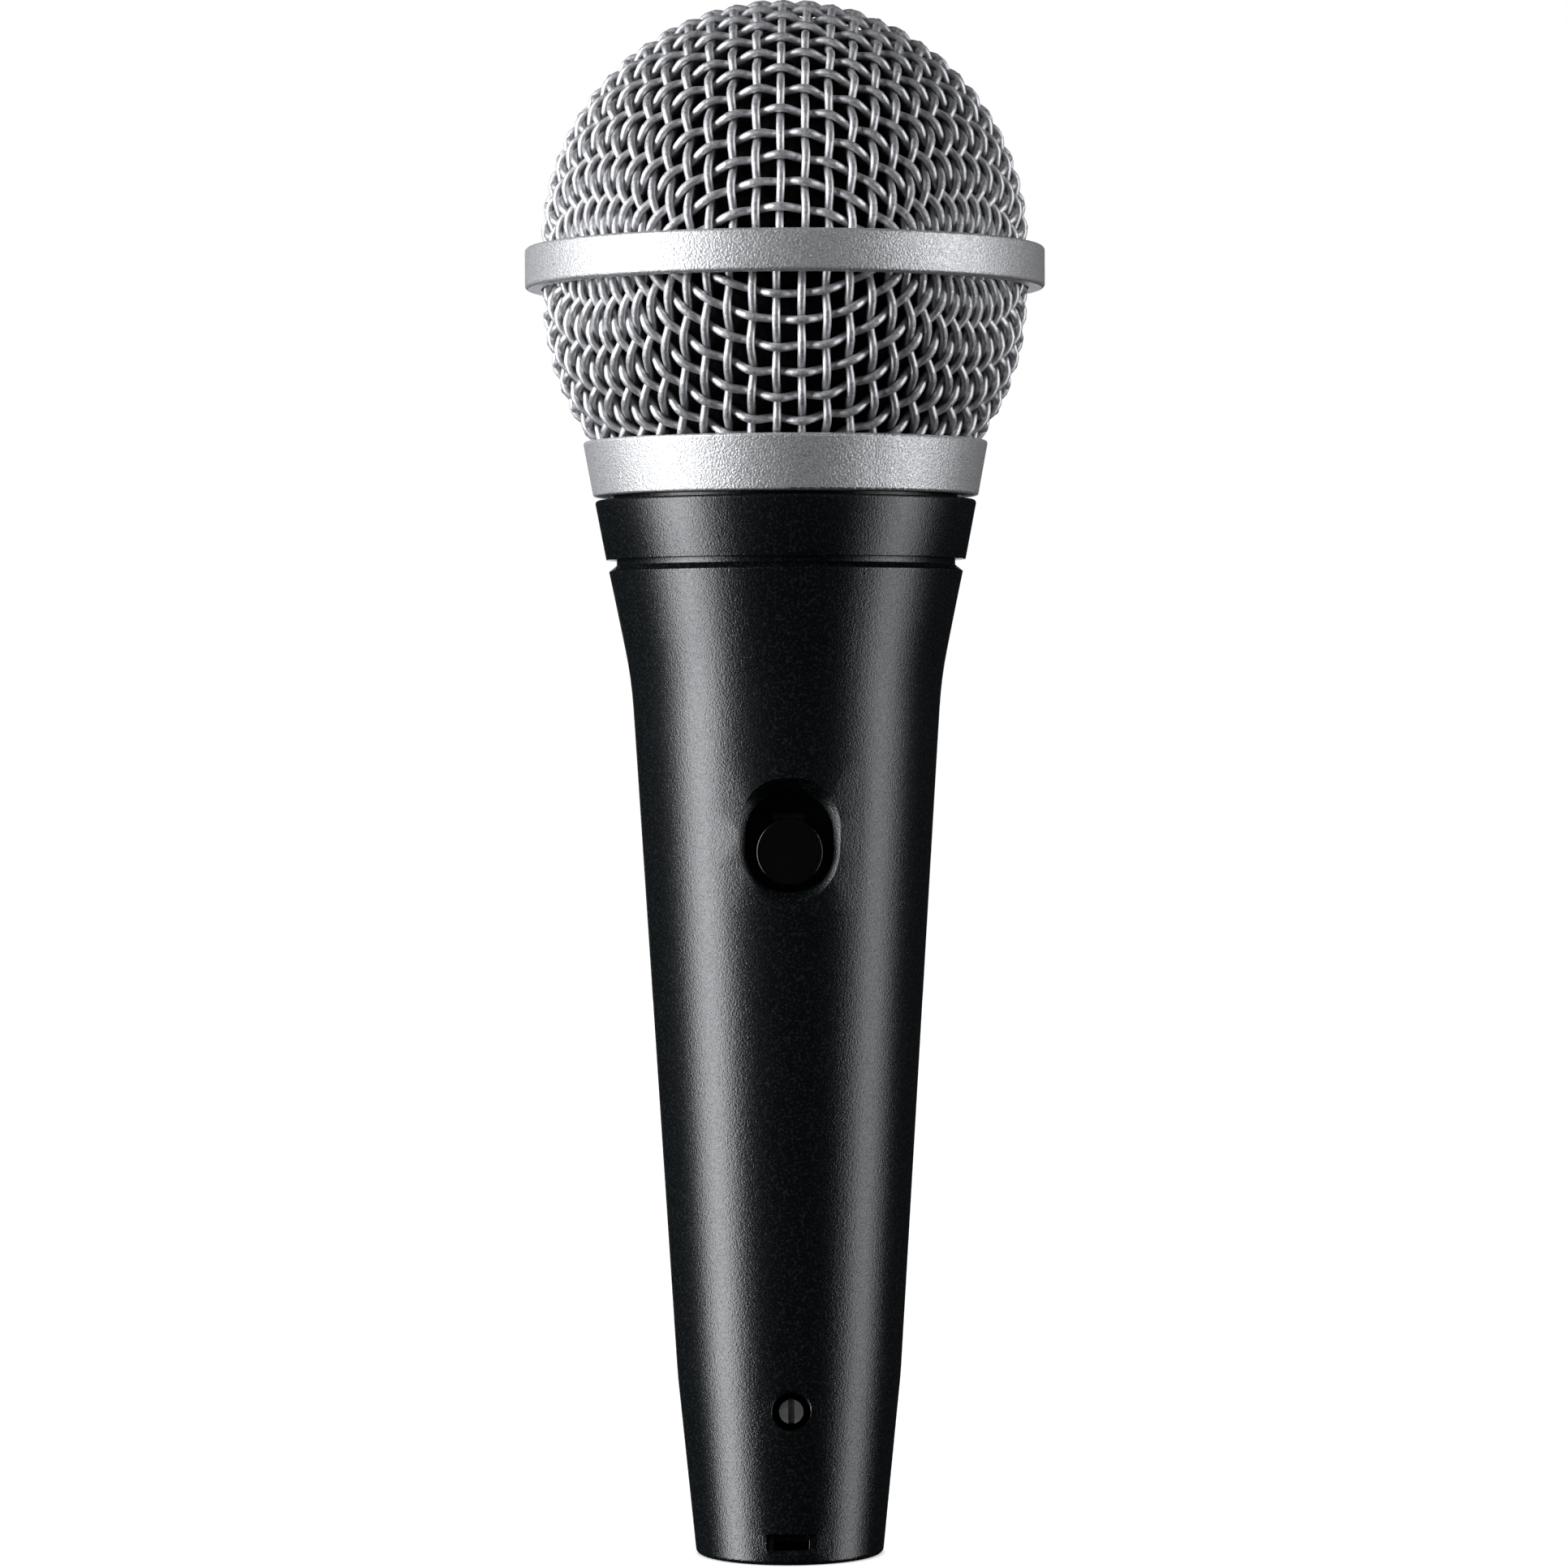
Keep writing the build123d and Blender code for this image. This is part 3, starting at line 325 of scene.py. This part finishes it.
def build_foam():
    """The open-cell foam cup behind the wires, its skin broken up by its cells."""
    top_r = high("foam_windscreen").x
    foot_z = low("foam_windscreen").z
    top_z = high("foam_windscreen").z - top_r
    low_r = top_r - (dome_r - basket_r)
    low_z = basket_centre.z
    foot_angle = math.degrees(math.asin((foot_z - low_z) / low_r))
    mouth_angle = -math.degrees(math.acos(foam_mouth_r / (low_r - foam_t)))
    rows = int(low_r * math.radians(90 - foot_angle) / foam_cell)
    share = int(rows * -foot_angle / (90 - foot_angle))
    outline = arc(0, low_z, low_r, foot_angle, 0, share)
    outline += arc(0, top_z, top_r, 0, 90, rows - share)[:-1] + [(0, top_z + top_r)]
    outline += [(0, top_z + top_r - foam_t)] + arc(0, top_z, top_r - foam_t, 90, 0, 40)[1:]
    outline += arc(0, low_z, low_r - foam_t, 0, mouth_angle, 14)
    part_way_z = foot_z + share * foam_cell / 8
    outline += [(foam_mouth_r, part_way_z)]
    outline += [(foam_mouth_r, foot_z)]
    points, faces = lathe(outline, int(2 * math.pi * low_r / foam_cell))
    centre = Vector((0, 0, low_z))
    moved = []
    for p in points:
        p = Vector(p)
        cells = noise.voronoi(p / foam_pit)[0][0] + 0.4 * noise.noise(p / foam_cell)
        moved.append(p - (p - centre).normalized() * foam_rough * cells)
    piece = new_piece("foam_lining", moved, faces, "windscreen")
    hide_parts("foam_windscreen")
    piece.data.materials.append(foam_finish())


# ================================================================ black collar with its thread
thread_pitch = 1.0 * MM
thread_depth = 0.42 * MM
thread_crest_r = 18.3 * MM
thread_bore_r = 16.4 * MM
thread_low_z = high("name_collar").z - 3.4 * MM
collar_top_z = thread_low_z - 0.4 * MM
collar_low_z = collar_top_z - 6.2 * MM
collar_low_r = 18.7 * MM
collar_top_r = high("name_collar").x
collar_neck_r = 17.6 * MM
collar_spigot_r = 15.2 * MM
collar_bore_r = 13.0 * MM
collar_seat_z = collar_low_z + 0.8 * MM
handle_top_z = high("handle_shell").z
collar_edge_r = 0.35 * MM
collar_foot_edge_r = 0.12 * MM


def thread_shape(radius, height, angle):
    """The collar's outside with a right-hand thread cut into the top spigot."""
    up = (height - thread_low_z) / (high("name_collar").z - thread_low_z)
    if radius < thread_crest_r - 0.01 * MM or not 0 <= up <= 1 or radius > thread_crest_r + 0.01 * MM:
        return radius
    phase = ((height - thread_low_z) / thread_pitch - angle / (2 * math.pi)) % 1.0
    # 1 on the crest and 0 in the root
    flank = min(1.0, max(0.0, 1.5 - 3.2 * abs(phase - 0.5)))
    ends = min(1.0, up / 0.12, (1 - up) / 0.08)
    return radius - thread_depth * (1 - flank) * ends


def build_collar():
    """The black ring between handle and grille, with the thread that the grille screws onto."""
    spigot_z = low("name_collar").z
    lean = math.degrees(math.atan((collar_top_r - collar_low_r) / (collar_top_z - collar_low_z)))
    thread_rows = [
        (thread_crest_r, z) for z in np.linspace(thread_low_z, high("name_collar").z - 0.02 * MM, 46)
    ]
    outline = [
        (collar_bore_r, spigot_z),
        (collar_spigot_r, spigot_z),
        (collar_spigot_r, handle_top_z),
        (collar_neck_r, handle_top_z),
        (collar_neck_r, collar_low_z),
        *arc(
            collar_low_r - collar_foot_edge_r,
            collar_low_z + collar_foot_edge_r,
            collar_foot_edge_r,
            -90,
            -lean,
            4,
        ),
        *arc(collar_top_r - collar_edge_r, collar_top_z - collar_edge_r, collar_edge_r, -lean, 90, 8),
        (thread_crest_r - thread_depth, collar_top_z),
        (thread_crest_r - thread_depth, thread_low_z - 0.05 * MM),
        *thread_rows,
        (thread_crest_r - 0.4 * MM, high("name_collar").z),
        (thread_bore_r, high("name_collar").z),
        (thread_bore_r, collar_seat_z),
        (collar_bore_r, collar_seat_z),
    ]
    points, faces = lathe(outline, 224, thread_shape)
    piece = new_piece("threaded_collar", points, faces, "handle", 32)
    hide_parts("name_collar")
    piece.data.materials.append(black_enamel_finish("collar_enamel"))


# ================================================================ materials
band_widening = 6.28  # divides a wave texture's scale, which sets its bands further apart


class Finish:
    """A material's node tree, with short calls for the nodes used most."""

    def __init__(self, name, colour, rough, metal=0.0, **sockets):
        self.material = bpy.data.materials.new(name)
        self.material.use_nodes = True
        self.tree = self.material.node_tree
        self.shader = self.tree.nodes["Principled BSDF"]
        self.shader.inputs["Base Color"].default_value = (*colour, 1)
        self.shader.inputs["Roughness"].default_value = rough
        self.shader.inputs["Metallic"].default_value = metal
        for socket, value in sockets.items():
            self.shader.inputs[socket.replace("_", " ")].default_value = value
        self.place = self.node("ShaderNodeTexCoord").outputs["Object"]

    def node(self, kind, **settings):
        made = self.tree.nodes.new(kind)
        for key, value in settings.items():
            setattr(made, key, value)
        return made

    def join(self, source, target):
        self.tree.links.new(source, target)

    def stretched(self, scale):
        """The place, scaled unevenly, so that a pattern runs along an axis."""
        mapping = self.node("ShaderNodeMapping")
        mapping.inputs["Scale"].default_value = scale
        self.join(self.place, mapping.inputs["Vector"])
        return mapping.outputs["Vector"]

    def grain(self, size, detail=2.0, place=None):
        """Noise whose lumps are about this size."""
        made = self.node("ShaderNodeTexNoise")
        made.inputs["Scale"].default_value = 1 / size
        made.inputs["Detail"].default_value = detail
        self.join(place or self.place, made.inputs["Vector"])
        return made.outputs["Fac"]

    def cells(self, size):
        """Cell noise whose cells are about this size."""
        made = self.node("ShaderNodeTexVoronoi", feature="F1")
        made.inputs["Scale"].default_value = 1 / size
        self.join(self.place, made.inputs["Vector"])
        return made.outputs["Distance"]

    def bands(self, axis, size):
        """Wave bands across an axis. Their spacing goes with the size."""
        made = self.node("ShaderNodeTexWave", wave_type="BANDS", bands_direction=axis)
        made.inputs["Scale"].default_value = 1 / size / band_widening
        self.join(self.place, made.inputs["Vector"])
        return made.outputs["Fac"]

    def span(self, value, from_low, from_high, to_low, to_high):
        """The value moved from one range to another, and held inside it."""
        made = self.node("ShaderNodeMapRange")
        for socket, number in (
            ("From Min", from_low),
            ("From Max", from_high),
            ("To Min", to_low),
            ("To Max", to_high),
        ):
            made.inputs[socket].default_value = number
        self.join(value, made.inputs["Value"])
        return made.outputs["Result"]

    def combined(self, a, b, operation="ADD"):
        made = self.node("ShaderNodeMath", operation=operation)
        for socket, value in zip(made.inputs, (a, b)):
            if isinstance(value, (int, float)):
                socket.default_value = value
            else:
                self.join(value, socket)
        return made.outputs["Value"]

    def blend(self, share, dark, light):
        """A colour between two, by share. Either may be an output."""
        made = self.node("ShaderNodeMix", data_type="RGBA")
        self.join(share, made.inputs["Factor"])
        for socket, colour in ((made.inputs[6], dark), (made.inputs[7], light)):
            if isinstance(colour, tuple):
                socket.default_value = (*colour, 1)
            else:
                self.join(colour, socket)
        return made.outputs[2]

    def colour(self, output):
        self.join(output, self.shader.inputs["Base Color"])

    def roughness(self, output):
        self.join(output, self.shader.inputs["Roughness"])

    def bump(self, height, depth, strength=1.0, below=None):
        """Relief of the given depth, on top of an earlier one."""
        made = self.node("ShaderNodeBump")
        made.inputs["Strength"].default_value = strength
        made.inputs["Distance"].default_value = depth
        self.join(height, made.inputs["Height"])
        if below is not None:
            self.join(below, made.inputs["Normal"])
        self.join(made.outputs["Normal"], self.shader.inputs["Normal"])
        return made.outputs["Normal"]


def wire_finish(name, centre, crown_r):
    """Satin silver wire with dull patches where the press has flattened its crowns, and painted shade on its
    inner side and where it passes under.
    """
    f = Finish(name, (0.8, 0.8, 0.81), 0.5, 0.85)
    from_centre = f.node("ShaderNodeVectorMath", operation="DISTANCE")
    f.join(f.place, from_centre.inputs[0])
    from_centre.inputs[1].default_value = centre
    height = from_centre.outputs["Value"]
    mottle = f.grain(0.3 * MM, 3.0)
    fine = f.grain(0.14 * MM, 2.0)
    pressed = f.span(height, crown_r - crown_flat - 0.05 * MM, crown_r - crown_flat - 0.01 * MM, 0, 1)
    # painted shade: the wire's colour darkens towards the sphere's centre, on its back and where it dips
    # under the crossing wires
    depth = f.span(height, crown_r - 2 * wire_d, crown_r - 0.4 * MM, 0.22, 1.0)
    tone = f.blend(f.span(mottle, 0.3, 0.7, 0, 1), (0.74, 0.74, 0.75), (0.92, 0.92, 0.93))
    dull = f.blend(f.span(mottle, 0.35, 0.65, 0, 1), (0.42, 0.42, 0.43), (0.74, 0.74, 0.75))
    worn = f.blend(pressed, tone, dull)
    # the near-black colour here is the painted shade on the wire's inner parts
    f.colour(f.blend(depth, (0.08, 0.08, 0.085), worn))
    f.roughness(f.combined(f.span(mottle, 0.3, 0.7, 0.48, 0.62), f.span(pressed, 0, 1, 0, 0.1)))
    relief = f.bump(mottle, 0.03 * MM, 0.8)
    f.bump(fine, 0.015 * MM, 0.8, relief)
    return f.material


def silver_enamel_finish():
    """Satin silver enamel with a fine sand grain."""
    f = Finish("silver_enamel_finish", (0.72, 0.72, 0.725), 0.5, 0.65)
    sand = f.grain(0.22 * MM, 2.0)
    flakes = f.grain(0.16 * MM, 1.0)
    f.colour(f.blend(f.span(flakes, 0.35, 0.65, 0, 1), (0.54, 0.54, 0.545), (0.88, 0.88, 0.885)))
    f.roughness(f.span(sand, 0.3, 0.7, 0.42, 0.56))
    relief = f.bump(sand, 0.08 * MM, 1.0)
    f.bump(flakes, 0.02 * MM, 0.8, relief)
    return f.material


def black_enamel_finish(name):
    """Satin black enamel with the fine grain of a baked powder finish."""
    f = Finish(name, (0.002, 0.002, 0.0022), 0.34, 0.0, Specular_IOR_Level=0.65)
    grain = f.grain(0.2 * MM, 1.5)
    fine = f.grain(0.1 * MM, 1.0)
    flecks = f.grain(0.26 * MM, 1.0)
    f.colour(f.blend(f.span(flecks, 0.5, 0.72, 0, 1), (0.0005, 0.0022, 0.0027), (0.022, 0.024, 0.026)))
    f.roughness(f.span(flecks, 0.3, 0.7, 0.33, 0.27))
    relief = f.bump(grain, 0.035 * MM, 1.0)
    f.bump(fine, 0.01 * MM, 0.8, relief)
    return f.material


def foam_finish():
    """Open-cell foam: painted shade darkens the pits between the slightly paler struts."""
    f = Finish("foam_finish", (0.006, 0.006, 0.0065), 0.95, Specular_IOR_Level=0.12)
    pits = f.cells(0.5 * MM)
    # painted shade: the colour is darker towards each cell's middle, down in its pit
    f.colour(f.blend(f.span(pits, 0.1, 0.6, 0, 1), (0.001, 0.001, 0.001), (0.005, 0.005, 0.0053)))
    f.bump(pits, 0.15 * MM, 0.8)
    return f.material


def moulded_finish(name, dark, light, rough, grain_size=0.12 * MM, grain_depth=0.008 * MM):
    """Moulded plastic or rubber with an even, spark-eroded grain."""
    f = Finish(name, dark, rough)
    grain = f.grain(grain_size, 2.0)
    broad = f.grain(4 * MM, 2.0)
    f.colour(f.blend(f.span(broad, 0.3, 0.7, 0, 1), dark, light))
    f.roughness(f.span(grain, 0.3, 0.7, rough - 0.05, rough + 0.06))
    f.bump(grain, grain_depth, 0.5)
    return f.material


def turned_metal_finish(name, dark, light, rough, metal=1.0, lines=0.12 * MM):
    """Machined or plated metal with faint turning marks round Z."""
    f = Finish(name, light, rough, metal)
    marks = f.grain(lines, 2.0, f.stretched((0.05, 0.05, 1)))
    clouds = f.grain(2.5 * MM, 2.0)
    f.colour(f.blend(f.span(clouds, 0.3, 0.7, 0, 1), dark, light))
    f.roughness(f.span(marks, 0.3, 0.7, rough - 0.07, rough + 0.08))
    f.bump(marks, 0.004 * MM, 0.6)
    return f.material


def coil_finish():
    """Enamelled copper wire, wound in close turns, with painted shade in the grooves between the turns."""
    f = Finish("coil_finish", (0.7, 0.3, 0.14), 0.28, 0.9, Coat_Weight=0.4, Coat_Roughness=0.1)
    turns = f.bands("Z", 0.15 * MM)
    # painted shade: the colour darkens with the bump's low bands, the grooves between the turns
    f.colour(f.blend(turns, (0.3, 0.1, 0.04), (0.78, 0.36, 0.17)))
    f.bump(turns, 0.05 * MM, 0.8)
    return f.material


def film_finish():
    """Thin polyester film with faint radial corrugations."""
    f = Finish("film_finish", (0.72, 0.68, 0.55), 0.2, 0.0, Transmission_Weight=0.35, IOR=1.55)
    clouds = f.grain(1.5 * MM, 2.0)
    f.colour(f.blend(f.span(clouds, 0.3, 0.7, 0, 1), (0.62, 0.57, 0.44), (0.78, 0.74, 0.62)))
    f.roughness(f.span(clouds, 0.3, 0.7, 0.14, 0.26))
    f.bump(clouds, 0.03 * MM, 0.4)
    return f.material


def weave_finish(name, dark, light, thread):
    """Plain-woven cloth, with painted shade in the gaps between its threads."""
    f = Finish(name, dark, 0.85, 0.0, Sheen_Weight=0.2)
    web = f.combined(f.bands("X", thread), f.bands("Y", thread), "MAXIMUM")
    # painted shade: the colour darkens where the bump is low, between the threads
    f.colour(f.blend(web, dark, light))
    f.bump(web, thread / 3, 0.8)
    return f.material


def felt_finish():
    """Pressed grey felt."""
    f = Finish("felt_finish", (0.1, 0.1, 0.105), 0.95, 0.0, Sheen_Weight=0.4)
    fibres = f.grain(0.3 * MM, 6.0, f.stretched((1, 1, 0.35)))
    f.colour(f.blend(f.span(fibres, 0.3, 0.7, 0, 1), (0.045, 0.045, 0.05), (0.16, 0.16, 0.165)))
    f.bump(fibres, 0.15 * MM, 0.8)
    return f.material


def board_finish():
    """Green solder resist over glass cloth, with the copper's faint relief."""
    f = Finish("board_finish", (0.02, 0.14, 0.06), 0.3, 0.0, Coat_Weight=0.3)
    cloth = f.grain(0.5 * MM, 2.0, f.stretched((1, 1, 0.3)))
    tracks = f.cells(2.6 * MM)
    f.colour(f.blend(f.span(tracks, 0.45, 0.5, 0, 1), (0.015, 0.11, 0.045), (0.03, 0.2, 0.08)))
    f.roughness(f.span(cloth, 0.3, 0.7, 0.25, 0.38))
    f.bump(f.span(tracks, 0.45, 0.5, 0, 1), 0.035 * MM, 0.8)
    return f.material


def insulation_finish(name, colour):
    """Soft wire insulation."""
    f = Finish(name, colour, 0.45)
    clouds = f.grain(1.2 * MM, 3.0)
    darker = tuple(0.75 * c for c in colour)
    f.colour(f.blend(f.span(clouds, 0.3, 0.7, 0, 1), darker, colour))
    f.roughness(f.span(clouds, 0.3, 0.7, 0.4, 0.52))
    f.bump(clouds, 0.02 * MM, 0.5)
    return f.material


def finish_cad_nodes():
    """Gives every node that shows its slot's finish."""
    finishes = {
        "silver_enamel": silver_enamel_finish(),
        "black_enamel": black_enamel_finish("handle_enamel"),
        "black_plastic": moulded_finish(
            "plastic_finish", (0.0015, 0.0015, 0.0015), (0.003, 0.003, 0.0032), 0.24
        ),
        "rubber": moulded_finish("rubber_finish", (0.014, 0.014, 0.014), (0.022, 0.022, 0.023), 0.8),
        "bare_steel": turned_metal_finish("steel_finish", (0.36, 0.36, 0.37), (0.48, 0.48, 0.49), 0.35),
        "magnet_plate": turned_metal_finish("nickel_finish", (0.55, 0.55, 0.56), (0.68, 0.68, 0.69), 0.2),
        "copper_coil": coil_finish(),
        "film": film_finish(),
        "cloth": weave_finish("cloth_finish", (0.008, 0.008, 0.008), (0.04, 0.04, 0.04), 0.25 * MM),
        "felt": felt_finish(),
        "pin_plate": turned_metal_finish("pin_finish", (0.62, 0.6, 0.55), (0.8, 0.78, 0.72), 0.22),
        "insert_plastic": moulded_finish("insert_finish", (0.01, 0.01, 0.01), (0.016, 0.016, 0.016), 0.35),
        "screw_zinc": turned_metal_finish(
            "zinc_finish", (0.3, 0.3, 0.3), (0.42, 0.42, 0.42), 0.5, 0.8, 0.3 * MM
        ),
        "board": board_finish(),
        "switch_can": turned_metal_finish("can_finish", (0.5, 0.5, 0.5), (0.62, 0.62, 0.62), 0.3),
        "spring_brass": turned_metal_finish("brass_finish", (0.55, 0.38, 0.15), (0.7, 0.5, 0.22), 0.3),
        "wire_black": insulation_finish("black_insulation", (0.015, 0.015, 0.015)),
        "wire_yellow": insulation_finish("yellow_insulation", (0.75, 0.5, 0.03)),
        "wire_green": insulation_finish("green_insulation", (0.03, 0.28, 0.07)),
    }
    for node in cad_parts.values():
        for place in node.material_slots:
            slot_name = place.material.name.split(".")[0]
            if slot_name in finishes:
                place.material = finishes[slot_name]


# ================================================================ stage, lights and camera
floor_shade_r = 8.6 * MM  # painted shade: the floor's glow is off inside this radius
floor_white_r = 10.2 * MM  # and fades up to full white by this one, a painted shadow round the tail
socket_light_depth = 0.4  # below the floor
socket_beam_r = 7.6 * MM  # where the beam meets the tail
camera_distance = 0.592
camera_z = 0.0889
aim_z = 0.0801
camera_azimuth = -1.0  # degrees from the front, towards the right
camera_roll = -0.23  # degrees
camera_slide = -0.3 * MM  # sideways, with its aim


def build_floor():
    """A pale floor, seen by the camera from above only, that adds nothing to the reflections, with painted
    shade in and round the socket.
    """
    reach = 12.0
    mesh = bpy.data.meshes.new("floor")
    mesh.from_pydata(
        [(-reach, -reach, 0), (reach, -reach, 0), (reach, reach, 0), (-reach, reach, 0)], [], [(0, 1, 2, 3)]
    )
    floor = bpy.data.objects.new("floor", mesh)
    scene.collection.objects.link(floor)
    material = bpy.data.materials.new("floor_finish")
    material.use_nodes = True
    nodes = material.node_tree.nodes
    links = material.node_tree.links
    shader = nodes["Principled BSDF"]
    shader.inputs["Base Color"].default_value = (0.35, 0.35, 0.35, 1)
    shader.inputs["Roughness"].default_value = 0.9
    shader.inputs["Emission Color"].default_value = (1, 1, 1, 1)
    # painted shade: the floor's glow is turned off inside the socket, where no light gets in, and fades in
    # to white just past the tail's edge
    place = nodes.new("ShaderNodeNewGeometry")
    off_axis = nodes.new("ShaderNodeVectorMath")
    off_axis.operation = "LENGTH"
    shade = nodes.new("ShaderNodeMapRange")
    shade.inputs["From Min"].default_value = floor_shade_r
    shade.inputs["From Max"].default_value = floor_white_r
    shade.inputs["To Min"].default_value = 0.0
    shade.inputs["To Max"].default_value = 1.0
    links.new(place.outputs["Position"], off_axis.inputs[0])
    links.new(off_axis.outputs["Value"], shade.inputs["Value"])
    links.new(shade.outputs["Result"], shader.inputs["Emission Strength"])
    clear = nodes.new("ShaderNodeBsdfTransparent")
    mix = nodes.new("ShaderNodeMixShader")
    side = nodes.new("ShaderNodeNewGeometry")
    links.new(side.outputs["Backfacing"], mix.inputs["Fac"])
    links.new(shader.outputs["BSDF"], mix.inputs[1])
    links.new(clear.outputs["BSDF"], mix.inputs[2])
    links.new(mix.outputs["Shader"], nodes["Material Output"].inputs["Surface"])
    mesh.materials.append(material)
    floor.visible_glossy = False
    floor.visible_diffuse = False


def build_world():
    """White behind the object, and very little light from all round."""
    world = bpy.data.worlds.new("studio")
    scene.world = world
    world.use_nodes = True
    nodes = world.node_tree.nodes
    links = world.node_tree.links
    dim = nodes["Background"]
    dim.inputs["Color"].default_value = (0.9, 0.95, 1, 1)
    dim.inputs["Strength"].default_value = 0.012
    white = nodes.new("ShaderNodeBackground")
    white.inputs["Color"].default_value = (1, 1, 1, 1)
    white.inputs["Strength"].default_value = 1.0
    rays = nodes.new("ShaderNodeLightPath")
    mix = nodes.new("ShaderNodeMixShader")
    links.new(rays.outputs["Is Camera Ray"], mix.inputs["Fac"])
    links.new(dim.outputs["Background"], mix.inputs[1])
    links.new(white.outputs["Background"], mix.inputs[2])
    links.new(mix.outputs["Shader"], nodes["World Output"].inputs["Surface"])
    scene.view_settings.view_transform = "Standard"


middle_z = (cad_low.z + cad_high.z) / 2


def softbox(name, azimuth, distance, width, height, watts):
    """A softbox aimed at the object; azimuth 0 stands at the front, 90 at its right."""
    light = bpy.data.lights.new(name, "AREA")
    light.shape = "RECTANGLE"
    light.size = width
    light.size_y = height
    light.energy = watts
    light.color = (0.955, 0.965, 1.0)
    lamp = bpy.data.objects.new(name, light)
    scene.collection.objects.link(lamp)
    around = math.radians(azimuth)
    away = Vector((math.sin(around), -math.cos(around), 0))
    lamp.location = Vector((0, 0, middle_z)) + distance * away
    lamp.rotation_euler = (-away).to_track_quat("-Z", "Y").to_euler()
    lamp.visible_camera = False


def build_lights():
    softbox("left_strip", -70, 0.9, 0.47, 1.3, 22)
    softbox("right_strip", 75, 0.9, 0.4, 1.3, 7.5)
    softbox("rear_strip", 180, 1.1, 0.3, 1.2, 2.0)
    # a narrow light straight up the output socket, which the floor doesn't stop
    spot = bpy.data.lights.new("socket_light", "SPOT")
    spot.spot_size = 2 * math.atan(socket_beam_r / socket_light_depth)
    spot.spot_blend = 0.3
    spot.energy = 2.5
    spot.shadow_soft_size = 0.004
    lamp = bpy.data.objects.new("socket_light", spot)
    scene.collection.objects.link(lamp)
    lamp.location = (0, 0, -socket_light_depth)
    lamp.rotation_euler = (math.pi, 0, 0)


def build_camera():
    """A long lens a little above the object's middle and left of its front, looking slightly down."""
    data = bpy.data.cameras.new("camera")
    data.sensor_width = 36
    data.lens = 130.6
    data.clip_end = 50
    camera = bpy.data.objects.new("camera", data)
    scene.collection.objects.link(camera)
    azimuth = math.radians(camera_azimuth)
    right = Vector((math.cos(azimuth), math.sin(azimuth), 0))
    out = Vector((math.sin(azimuth), -math.cos(azimuth), 0))
    slide = camera_slide * right
    place = out * camera_distance + slide + Vector((0, 0, camera_z))
    aim = slide + Vector((0, 0, aim_z))
    turn = (aim - place).to_track_quat("-Z", "Y").to_matrix().to_4x4()
    roll = Matrix.Rotation(math.radians(camera_roll), 4, "Z")
    camera.matrix_world = Matrix.Translation(place) @ turn @ roll
    scene.camera = camera


build_camera()
build_upper_wires()
build_lower_wires()
build_foam()
build_collar()
finish_cad_nodes()
build_floor()
build_world()
build_lights()
